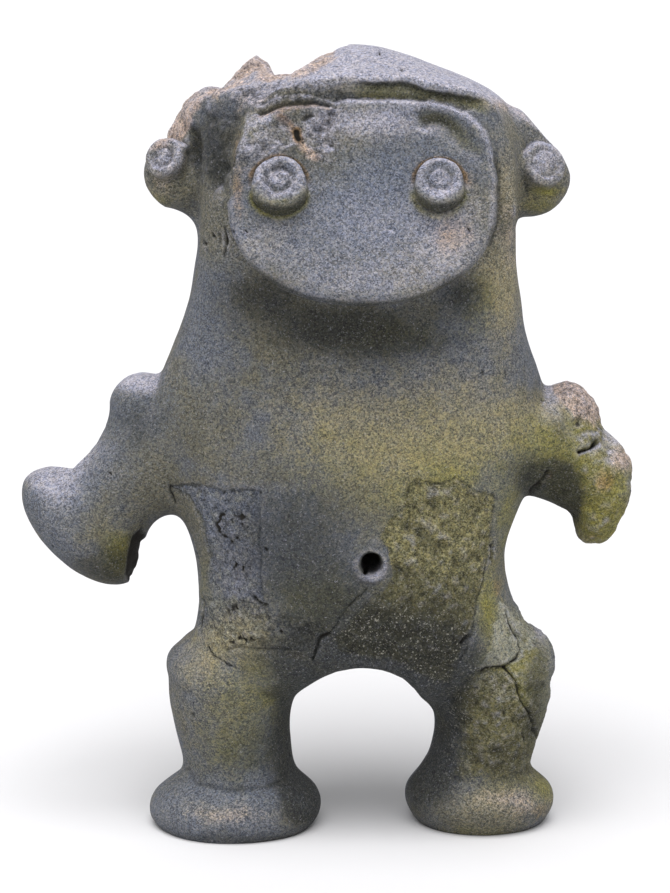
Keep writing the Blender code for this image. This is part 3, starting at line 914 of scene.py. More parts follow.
# %% Rub the seams smooth
SEAMS = [
    (
        [
            (464, 113), (482, 112), (497, 107), (510, 104), (520, 116), (523, 135), (521, 190),
            (513, 206), (512, 240), (510, 268), (498, 270), (493, 254), (499, 230), (501, 200),
            (500, 170), (496, 148), (487, 131), (475, 120),
        ],
        260,
    ),
    (
        [
            (216, 190), (221, 150), (228, 122), (238, 104), (256, 94), (280, 91), (310, 90), (338, 92),
            (343, 101), (330, 107), (300, 104), (280, 108), (267, 117), (256, 129), (249, 142),
            (245, 160), (242, 184), (232, 204),
        ],
        130,
    ),
    (
        [(278, 730), (278, 690), (290, 674), (330, 668), (326, 684), (308, 700), (297, 730)],
        170,
    ),
    (
        [(398, 668), (430, 672), (442, 690), (443, 724), (428, 726), (420, 702), (402, 688)],
        170,
    ),
    (
        [
            (166, 196), (180, 204), (196, 214), (204, 232), (204, 250), (192, 246), (186, 226), (170, 214),
        ],
        90,
    ),
    (
        [
            (64, 476), (74, 456), (86, 430), (98, 404), (116, 408), (120, 436), (106, 458), (90, 484),
        ],
        320,
    ),
    ([(506, 88), (530, 104), (556, 132), (548, 142), (530, 124), (514, 112)], 15),
    (
        [(150, 498), (190, 498), (202, 528), (199, 562), (183, 562), (180, 532), (152, 532)],
        150,
    ),
]
WRIST_OUTLINE = [(44, 466), (60, 467), (73, 469), (80, 462), (88, 454), (97, 443), (106, 426)]
SEAM_SOFTNESS = 1.3
ALL_SIDES = -1.1

for outline, passes in SEAMS:
    calm(within(outline, SEAM_SOFTNESS, ALL_SIDES), passes)
snap_off(WRIST_OUTLINE, 0.3)
points, facing, toward, places = measure_skin()
places += wobble
print("seams rubbed smooth", len(SEAMS))

# %% [markdown]
# ## The hood's edge
# Seen from the front, the crown runs to a crisp edge, and under it a wall is hollowed back to the
# face plate. The edge is a line in the picture. The clay below it is sunk, with a sharp start and a
# slow end, and the valley above the rolled rim is filled. The wall under the edge is painted dark
# olive as shade, the plate's right flank dark as shade, and the bead on the plate's rim a little
# paler as highlight.

# %% Crisp the hood's edge
HOOD_EDGE = [(334, 76), (360, 79), (380, 80), (406, 82), (428, 88), (458, 95), (481, 98), (496, 104)]
HOOD_WALL = HOOD_EDGE + [(500, 116), (490, 120), (474, 111), (456, 105), (430, 100), (400, 100), (334, 100)]
fading = ramp(places[:, 0], 336, 376) * ramp(-places[:, 0], -500, -470)
under_edge = within(HOOD_WALL, 0.9) * fading
below_edge = from_line(HOOD_EDGE)
heights -= 1.5 * under_edge * ramp(below_edge, 0.0, 0.7) * (1 - 0.8 * ramp(below_edge, 1.0, 5.5))
# The wall under the edge is painted dark olive, as shade.
mark("dark", 0.6 * under_edge * (1 - ramp(below_edge, 2.0, 6.5)))
mark("olive", 0.6 * under_edge)
EDGE_TOP = [(x, y - 4) for x, y in HOOD_EDGE]
heights += 0.4 * near_line(EDGE_TOP, 0.3, 1.8) * fading
PLATE_BEAD = [
    (400, 105), (430, 106), (452, 110), (469, 119), (481, 132), (489, 149), (493, 170), (494, 196),
    (492, 222),
]
PLATE_FLANK = [(497, 150), (498, 180), (497, 214), (490, 244)]
bead = near_line(PLATE_BEAD, 0.4, 1.8)
heights += 0.2 * bead
# The bead is painted a little paler, as highlight, and the plate's right flank dark, as shade.
mark("pale", 0.15 * bead)
mark("dark", 0.6 * near_line(PLATE_FLANK, 0.3, 1.8))

valley = np.array([in_place((x, y + 6.2, z + 2.6)) for x, y, z in HOOD_RIM[3:]])
valley_reach = np.full(len(points), FAR_AWAY)
for start, end in zip(valley, valley[1:]):
    along = end - start
    part = np.clip((points - start) @ along / (along @ along), 0.0, 1.0)
    gap = np.linalg.norm(points - start - part[:, None] * along, axis=1) / SHARE
    valley_reach = np.minimum(valley_reach, gap)
heights += 1.3 * np.exp(-(valley_reach / 3.4) ** 2)
print("points under the edge", int((under_edge > 0.5).sum()))

# %% [markdown]
# ## Breaks
# Where clay broke away, its inside shows: coarse, angular and pinkish. Noise at several sizes
# roughens these places. The hood's left side is hollowed, because its rim is gone there, and the
# hollow is painted darker as shade.

# %% Break the crown and the left side
CROWN_BREAK = [
    (150, 150), (165, 128), (182, 102), (198, 88), (211, 84), (222, 88), (238, 66), (256, 52), (270, 60),
    (278, 74), (290, 74), (302, 64), (318, 54), (334, 48), (338, 58), (318, 71), (300, 78), (274, 80),
    (252, 84), (232, 92), (208, 102), (196, 114), (190, 128), (180, 142),
]
LEFT_HOLLOW = [
    (203, 112), (218, 104), (236, 103), (240, 112), (236, 126), (229, 150), (229, 172), (222, 190),
    (210, 192), (202, 176), (196, 152), (196, 130),
]
LEFT_CREST = [(246, 91), (232, 95), (214, 101), (202, 108), (195, 119), (191, 131), (188, 144)]
ROUGH_BAND = [
    (240, 92), (262, 84), (300, 80), (344, 77), (346, 99), (330, 105), (300, 100), (262, 107), (248, 100),
]
broken = within(CROWN_BREAK, 1.2, -0.6)
angular = rough(points, 6, 5, 40, where=broken)
heights += 1.1 * broken * angular * (0.45 + 0.55 * ramp(toward, -0.1, 0.5))
mark("fresh", broken * (0.7 + 0.6 * rough(points, 4, 2, 44, where=broken)))
hollow = within(LEFT_HOLLOW, 3.0)
heights -= 3.4 * hollow
heights += 1.3 * near_line(LEFT_CREST, 0.4, 2.6)
heights += 0.9 * hollow * rough(points, 4, 4, 46, where=hollow)
# The hollow is painted darker, as shade.
mark("dark", 0.5 * hollow)
mark("pitted", 0.5 * hollow)
rough_band = within(ROUGH_BAND, 0.8)
heights += rough_band * (0.65 * rough(points, 3.2, 3, 48, where=rough_band) - 0.3)
mark("pitted", 0.8 * rough_band)
print("broken points", int((broken > 0.5).sum()))

# %% Chip the forehead
CHIP = [
    (274, 110), (286, 112), (292, 126), (296, 140), (303, 134), (307, 122), (318, 114), (334, 108),
    (341, 111), (335, 122), (333, 134), (337, 145), (327, 160), (312, 156), (300, 147), (291, 138),
    (283, 126),
]
FLAKED = [
    (252, 126), (264, 116), (276, 114), (288, 130), (292, 148), (262, 152), (246, 168), (238, 172),
    (236, 150),
]
AROUND_CHIP = [
    (256, 104), (344, 98), (352, 130), (344, 166), (300, 172), (272, 150), (246, 190), (228, 170),
]
CHIP_HOLE = [(296, 132), (298, 138)]
CHIP_DENT = [(303, 119), (312, 115)]
CHIP_EDGE = [(278, 113), (287, 117), (292, 128), (296, 139), (306, 148), (318, 157)]
CHIP_FACE = [(281, 115), (290, 126), (296, 138), (304, 148), (314, 156)]
chip = within(CHIP, 1.6)
flaked = within(FLAKED, 1.6)
around_chip = within(AROUND_CHIP, 4)
facets = rough(points, 4.2, 4, 50, where=around_chip)
facets = np.sign(facets) * np.abs(facets) ** 0.75
heights -= chip * (0.7 - 0.9 * facets)
heights += 0.6 * flaked * facets + 0.25 * around_chip * facets
mark("pitted", np.maximum(chip, 0.45 * around_chip))
mark("pitted", 0.6 * flaked)
mark("dark", 0.1 * chip)
mark("pale", 0.3 * chip)
deep = near_line(CHIP_HOLE, 0.3, 1.5)
dent = near_line(CHIP_DENT, 0.2, 1.3)
orange_edge = near_line(CHIP_EDGE, 0.3, 1.5)
heights -= 1.5 * deep + 0.7 * dent
heights += 0.35 * orange_edge
mark("crevice", np.maximum(0.8 * deep, 0.4 * dent))
mark("ochre", 0.9 * near_line(CHIP_HOLE, 1.0, 2.6))
mark("ochre", 0.55 * orange_edge)
mark("fresh", 0.6 * near_line(CHIP_FACE, 0.6, 2.6))
print("chip points", int((chip > 0.5).sum()))

# %% [markdown]
# ## Pressed lines round the eyes and the brow
# The buttons were pressed in so hard that a brown groove runs round their tops. The right brow has a
# hollow with a steep upper side. The buttons' lower flanks and the brow hollow are painted dark
# olive as shade.

# %% Press the lines
BROW_LINE = [(261, 113), (272, 107), (284, 104), (300, 102.5), (316, 103.5), (328, 106)]
BROW_TOP = [(419, 114), (430, 112), (444, 114), (458, 121), (470, 132), (479, 147)]
BROW_HOLLOW = BROW_TOP + [(482, 158), (466, 156), (450, 147), (432, 136), (421, 126)]

for seat, diameter in zip(eye_seats, EYE_DIAMETERS.values()):
    local = np.array(seat.inverted())
    from_eye = (points @ local[:3, :3].T + local[:3, 3]) / SHARE
    radius = np.hypot(from_eye[:, 0], from_eye[:, 1])
    upper = ramp(from_eye[:, 1] / np.maximum(radius, 1e-6), -0.25, 0.45) * (np.abs(from_eye[:, 2]) < 6)
    shape = np.exp(-((radius - diameter / 2 - 0.45) / 0.45) ** 2) * upper
    heights -= 1.0 * shape
    mark("crevice", 0.55 * shape)
    mark("ochre", 0.75 * np.exp(-((radius - diameter / 2 - 0.7) / 0.9) ** 2) * upper)
    lower = ramp(-from_eye[:, 1] / np.maximum(radius, 1e-6), -0.1, 0.7) * (np.abs(from_eye[:, 2]) < 6)
    under = np.exp(-((radius - diameter / 2 - 0.6) / 1.5) ** 2) * lower
    heights += 1.5 * under
    # The lower flank is painted dark olive, as shade.
    mark("dark", 0.8 * under)
    mark("olive", 1.3 * under)

brow_groove = near_line(BROW_LINE, 0.25, 1.1)
heights -= 0.9 * brow_groove
heights += 0.7 * near_line([(x, y - 4) for x, y in BROW_LINE], 0.3, 1.6)
mark("crevice", 0.45 * brow_groove)
mark("ochre", 0.6 * near_line([(x, y + 3) for x, y in BROW_LINE], 0.3, 1.6))

below_brow = from_line(BROW_TOP)
deeper_outward = 0.45 + 0.55 * ramp(-places[:, 0], -476, -440)
brow = within(BROW_HOLLOW, 2.6) * (1 - ramp(below_brow, 1.6, 8.5)) * deeper_outward
heights -= 2.0 * brow
# The brow hollow is painted dark olive, as shade.
mark("dark", 0.8 * brow)
mark("olive", np.maximum(0.7 * brow, 0.25 * within(BROW_HOLLOW, 4.0)))
print("grooves pressed", len(eye_seats) + 1)

# %% Wear the buttons
FAINT = 0.05
BUTTONS_SEEN = [(278, 176, 24, 22), (440, 179, 22, 22), (167, 159, 18, 20), (545, 164, 18, 20)]
button_faces = sum(spot(*button) for button in BUTTONS_SEEN)
button_faces[button_faces < FAINT] = 0.0
button_faces += 0.8 * spot(278, 182, 26, 26)
heights += np.clip(button_faces, 0.0, 1.6) * 0.36 * rough(points, 2.6, 3, 54, where=button_faces)
mark("pitted", 0.5 * np.clip(button_faces, 0.0, 1.0))
print("points on the buttons", int((button_faces > 0.5).sum()))

# %% [markdown]
# ## Cracks, slits and pits
# Each crack is a line with its own width and depth. Single pits are short lines, and noise scatters
# small holes over all sides, where grit fell out. Cracks, grooves and pits are painted near black
# inside, as shade.

# %% Draw the cracks
CRACKS = [
    ([(330, 634), (324, 637), (318, 641), (315, 651), (311, 659)], 1.15, 1.5),
    ([(367, 588), (356, 598), (346, 612), (336, 624), (330, 634)], 0.55, 0.6),
    ([(254, 599), (260, 603), (266, 605)], 1.1, 1.4),
    ([(209, 647), (214, 656), (222, 661), (236, 667)], 0.5, 0.8),
    ([(172, 486), (172, 494), (175, 503)], 0.8, 0.8),
    ([(203, 598), (201, 616), (201, 632)], 0.8, 0.7),
    ([(225.5, 228), (226, 242), (225, 258)], 0.8, 1.1),
    ([(493, 546), (494, 552), (491, 560)], 1.0, 1.6),
    ([(468, 637), (463, 645)], 1.5, 1.8),
    ([(598, 442), (592, 446), (584, 449), (578, 452)], 1.0, 1.6),
    ([(596, 441), (591, 446)], 1.8, 1.6),
    (
        [
            (503, 611), (507, 624), (512, 634), (517, 641), (519, 650), (516, 659), (506, 667),
            (494, 668), (480, 672),
        ],
        0.7,
        0.9,
    ),
    (
        [
            (506, 667), (510, 676), (517, 685), (518, 693), (521, 702), (529, 713), (536, 724), (536, 738),
        ],
        0.7,
        1.0,
    ),
    ([(512, 634), (518, 638), (526, 640)], 0.5, 0.6),
    ([(523, 735), (524, 741)], 0.7, 0.8),
    ([(546, 473), (540, 482), (530, 491)], 1.1, 1.2),
    ([(82, 522), (96, 531), (110, 538)], 0.4, 0.25),
    ([(197, 552), (199, 558)], 0.8, 0.6),
    ([(328, 105), (336, 109), (343, 106)], 0.5, 0.4),
    ([(345, 79), (344, 86)], 0.5, 0.4),
    ([(238, 150), (233, 158), (231, 170), (233, 184)], 0.7, 0.5),
    ([(456, 669), (464, 656), (470, 638), (476, 610), (484, 584), (489, 562)], 0.6, 0.5),
]
for route, width, depth in CRACKS:
    crack(route, width, depth, min(0.2 + 0.6 * depth, 1.0))

PITS = [
    (194, 715, 1.1), (380, 53, 0.6), (403, 69, 1.0), (469, 229, 0.7), (469, 195, 0.5), (507, 291, 0.5),
    (482, 373, 0.7), (505, 373, 0.5), (205, 243, 1.2), (416, 206, 0.5), (266, 549, 0.6), (110, 473, 0.6),
    (246, 232, 0.6), (541, 400, 0.6), (523, 384, 0.5), (232, 232, 0.8), (214, 236, 0.9), (543, 634, 0.4),
]
holes = ramp(grain(points, 2.8, 92), 0.86, 0.98)
heights -= 0.45 * holes
mark("crevice", 0.35 * holes)
for x, y, reach in PITS:
    crack([(x - 0.7, y - 1.0), (x + 0.7, y + 1.0)], reach, 0.8, 0.8)
print("cracks", len(CRACKS), "pits", len(PITS))

# %% [markdown]
# ## Old fills and crusts
# Parts of the belly and the right leg are modern or ancient fill: coarse sand with sharp edges, a
# little below the old skin, with a few ridges left in it. A pale crust covers the right hip. Each
# area is an outline with its own height and coarseness.

# %% Set the patches in
RIGHT_FILL = [
    (406, 498), (411, 487), (417, 478), (424, 481), (438, 484), (450, 481), (457, 478), (464, 483),
    (475, 489), (495, 496), (494, 520), (493, 548), (489, 562), (484, 584), (477, 606), (470, 630),
    (463, 646), (456, 668), (450, 684), (430, 676), (400, 664), (370, 656), (340, 652), (332, 640),
    (348, 622), (362, 606), (372, 596), (384, 590), (392, 574), (388, 552), (380, 540), (385, 528),
    (393, 518), (401, 508),
]
LEFT_PATCH = [
    (172, 485), (180, 484), (200, 485), (216, 488), (232, 490), (246, 491), (261, 494), (259, 520),
    (260, 546), (262, 580), (262, 600), (252, 599), (226, 597), (214, 590), (208, 576), (212, 556),
    (207, 540), (199, 514), (188, 497),
]
LOWER_PATCH = [
    (202, 600), (226, 597), (250, 600), (266, 606), (288, 618), (310, 624), (328, 630), (318, 641),
    (300, 649), (272, 649), (240, 647), (214, 646), (203, 630),
]
LEG_FILL = [
    (470, 672), (494, 666), (516, 676), (524, 700), (538, 716), (536, 744), (530, 768), (518, 777),
    (496, 780), (470, 780), (452, 776), (458, 752), (452, 724), (452, 694),
]
CRUST = [
    (499, 601), (507, 608), (515, 620), (527, 627), (538, 634), (536, 646), (526, 653), (517, 663),
    (500, 667), (486, 668), (478, 671), (485, 658), (490, 640), (493, 618),
]
LOWER_CRUST = [
    (474, 676), (494, 671), (508, 672), (517, 684), (516, 702), (500, 703), (486, 694), (474, 690),
]
HIP_ROUGH = [
    (516, 600), (530, 628), (548, 632), (556, 660), (554, 700), (540, 716), (526, 704), (518, 686),
    (506, 668), (518, 654), (518, 636), (508, 620),
]
FILL_RIDGES = [
    [(414, 498), (430, 492), (452, 494), (476, 492)],
    [(420, 521), (438, 531), (452, 545), (462, 556)],
    [(398, 552), (412, 566), (424, 584)],
    [(440, 590), (452, 604), (456, 622)],
]
right_fill = within(RIGHT_FILL, 2.0)
leg_fill = within(LEG_FILL, 5.0)
left_patch = within(LEFT_PATCH, 1.0)
lower_patch = within(LOWER_PATCH, 1.6)
hip_rough = within(HIP_ROUGH, 1.5)
crust = np.maximum(within(CRUST, 1.4), 0.6 * within(LOWER_CRUST, 2.4))
patched = right_fill + leg_fill + left_patch + lower_patch + hip_rough
coarse = rough(points, 3.4, 5, 60, where=patched) + 0.5 * rough(points, 9, 2, 61, where=patched)

PATCH_RELIEF = [
    (right_fill, 0.70, -0.50),
    (leg_fill, 0.80, -0.15),
    (left_patch, 0.48, -0.50),
    (lower_patch, 0.55, -0.30),
    (hip_rough, 0.55, 0.00),
]
for ridge in FILL_RIDGES:
    heights += 0.8 * right_fill * near_line(ridge, 0.2, 3.4)
for patch, roughness, level in PATCH_RELIEF:
    heights += patch * (roughness * coarse + level)
heights += crust * (0.45 + 0.55 * rough(points, 4, 4, 62, where=crust))
print("patched points", int((patched > 0.5).sum()))

# %% Colour the patches
upper_fill = right_fill * ramp(-places[:, 1], -600, -560)
left_grain = ramp(rough(points, 2.0, 3, 64, where=left_patch), -0.3, 0.6)
lower_grain = ramp(rough(points, 2.4, 3, 65, where=lower_patch), -0.2, 0.7)
mark("fill", np.maximum(0.85 * right_fill, 0.7 * leg_fill))
mark("sand", upper_fill * (0.66 + 0.12 * coarse))
mark("pitted", np.maximum(0.85 * lower_patch, 0.75 * left_patch))
mark("pitted", 0.3 * crust)
mark("crust", crust * (0.85 + 0.5 * rough(points, 3, 3, 63, where=crust)))
mark("crust", 0.35 * hip_rough)
mark("crust", left_patch * (0.1 + 0.3 * left_grain))
mark("crust", lower_patch * (0.2 + 0.32 * lower_grain))
mark("pale", 0.22 * left_patch)
mark("cool", 0.7 * left_patch)
# The low spots of the coarse fill are painted dark, as shade.
mark("crevice", 0.3 * ramp(-coarse, 0.6, 1.2) * (right_fill + leg_fill))
print("fill points", int((masks["fill"] > 0.5).sum()), "crust points", int((crust > 0.5).sum()))

# %% Edges of the patches
EDGES = [
    (LEFT_PATCH[:7], 0.6, 0.5),
    (LEFT_PATCH[6:11], 0.6, 0.35),
    ([LEFT_PATCH[0]] + LEFT_PATCH[:14:-1], 0.7, 0.45),
    ([(226, 648), (240, 648), (262, 650), (288, 650)], 0.6, 0.5),
    (RIGHT_FILL[:10], 0.6, 0.45),
    (RIGHT_FILL[9:14], 0.5, 0.35),
]
for route, width, depth in EDGES:
    crack(route, width, depth, 0.3)
print("patch edges", len(EDGES))

# %% Pit the left side and dent the fill
RING_MIDDLE = (230, 527)
RING_RADIUS_PIXELS = 15
PITTED_SPOTS = [(238, 566, 16, 8), (240, 610, 20, 9), (240, 640, 26, 9), (282, 632, 26, 10)]
FILL_DIP = [(410, 524), (422, 538), (434, 551)]
from_ring = np.linalg.norm(places - RING_MIDDLE, axis=1) - RING_RADIUS_PIXELS
circle = np.exp(-(from_ring / 3.5) ** 2) * (toward > 0)
heights -= 0.3 * circle
ring_pits = 0.7 * circle + 0.7 * spot(*RING_MIDDLE, 18, 17)
ring_pits += sum(spot(*pitted) for pitted in PITTED_SPOTS)
ring_pits[ring_pits < FAINT] = 0.0
holes = ramp(rough(points, 1.7, 3, 66, where=ring_pits), 0.22, 0.6) * np.clip(ring_pits, 0.0, 1.0)
heights -= 0.55 * holes
# The pits are painted near black, as shade.
mark("crevice", 0.8 * holes)
dip = near_line(FILL_DIP, 0.5, 3.6)
heights -= 0.8 * dip
# The dip is painted a little darker, as shade.
mark("dark", 0.35 * dip)
print("pitted points", int((holes > 0.5).sum()))

# %% [markdown]
# ## Worn knob, navel and creases
# The right shoulder's knob has lost its skin, and so has the arm beyond the crack. A round mound
# carries the navel, and a notch was worn in its lower left edge. A line is pressed where each leg
# meets its foot. A little clay closes the arch's right corner, and the left hand's inner end is torn.
# The creases, the notch and the torn end are painted dark as shade.

# %% Wear and press the rest
KNOB = [
    (552, 386), (566, 380), (590, 388), (602, 404), (602, 424), (600, 438), (588, 446), (578, 450),
    (577, 432), (573, 414), (563, 402),
]
BROKEN_ARM = [
    (600, 428), (612, 440), (628, 450), (640, 466), (636, 500), (622, 522), (610, 542), (596, 548),
    (576, 544), (572, 520), (560, 505), (543, 494), (548, 474), (572, 464), (580, 451), (598, 442),
]
AROUND_THE_SIDE = -0.5
knob = within(KNOB, 0.8, AROUND_THE_SIDE)
arm_break = within(BROKEN_ARM, 1.0, AROUND_THE_SIDE)
fades_down = ramp(-places[:, 1], -446, -400)
heights += knob * (1.0 * rough(points, 5.5, 4, 70, where=knob) - 0.2)
heights += arm_break * (0.8 * rough(points, 6, 4, 72, where=arm_break) - 0.5)
mark("fresh", knob * (0.78 + 0.4 * rough(points, 6, 3, 77, where=knob)) * fades_down)
mark("pitted", 0.35 * np.maximum(knob, arm_break))
eaten = spot(580, 424, 9, 14)
eaten[eaten < FAINT] = 0.0
heights -= 0.7 * eaten * (1 + rough(points, 2.4, 2, 74, where=eaten))
# The eaten holes are painted near black, as shade.
mark("crevice", 0.6 * eaten * ramp(rough(points, 2.0, 1, 75, where=eaten), 0.0, 0.5))
print("knob points", int((knob > 0.5).sum()), "broken arm points", int((arm_break > 0.5).sum()))

# %% Shape the navel's mound
NAVEL_SEEN = (371, 560)
NAVEL_NOTCH = [(366, 570), (365, 571)]
NAVEL_LIP = [(360, 578), (370, 581), (380, 575), (383, 566)]
NAVEL_LINE = [(350, 540), (360, 533), (374, 530), (388, 533)]
MOUND_RADIUS = 5.6
mound = np.linalg.norm((places - NAVEL_SEEN) / (1.0, 1.05), axis=1) * SHARES_PER_PIXEL
heights += 0.6 * np.exp(-((mound - MOUND_RADIUS) / 2.2) ** 2) * (toward > 0) * (1 - 0.6 * right_fill)
notch = near_line(NAVEL_NOTCH, 0.3, 1.1)
heights -= 1.1 * notch
mark("crevice", 0.8 * notch)
mark("crevice", 0.4 * near_line(NAVEL_LINE, 0.2, 1.0))
mark("pale", 0.4 * near_line(NAVEL_LIP, 0.6, 2.2))
print("mound points", int((np.abs(mound - MOUND_RADIUS) < 2.0).sum()))

# %% Crease the ankles, fill the arch's corner and tear the hand
CREASES = [
    ([(187, 770), (197, 781), (213, 787), (237, 789), (265, 788), (281, 781), (293, 768)], 0.4),
    ([(530, 768), (518, 776), (498, 780), (470, 781), (450, 778)], 0.2),
]
ARCH_CORNER = [(423, 677), (432, 690)]
INTO_THE_ARCH = (-0.6, 0.0, -0.8)
TORN_HAND = [(130, 552), (134, 538), (142, 528), (150, 545), (146, 574), (131, 584), (127, 572)]
for route, depth in CREASES:
    crease = near_line(route, 0.2, 1.6)
    heights -= depth * crease
    # The crease is painted darker, as shade.
    mark("dark", 0.7 * depth * crease)
corner = np.exp(-(from_line(ARCH_CORNER, ALL_SIDES) / 3.6) ** 2)
heights += 2.4 * corner * ramp(facing @ INTO_THE_ARCH, 0.1, 0.8)
torn_hand = within(TORN_HAND, 0.8, ALL_SIDES)
heights -= torn_hand * (1.3 - 0.5 * rough(points, 4, 3, 76, where=torn_hand))
# The torn end is painted dark, as shade.
mark("dark", torn_hand)
mark("crevice", 0.75 * torn_hand)
raise_skin(heights)
print("relief", round(heights.min(), 2), "to", round(heights.max(), 2), "shares")

# %% [markdown]
# ## Stains, painted shade and painted highlight
# Each stain is a soft round spot of one of the clay's colours. They are kept as numbers on the
# points, one for each colour, and the material reads them. Away from the camera, broad noise takes
# their place. Some dark and olive spots are painted shadow and shade, and some pale spots painted
# highlight. Whatever faces up is painted paler as highlight, and what faces down darker as shade.

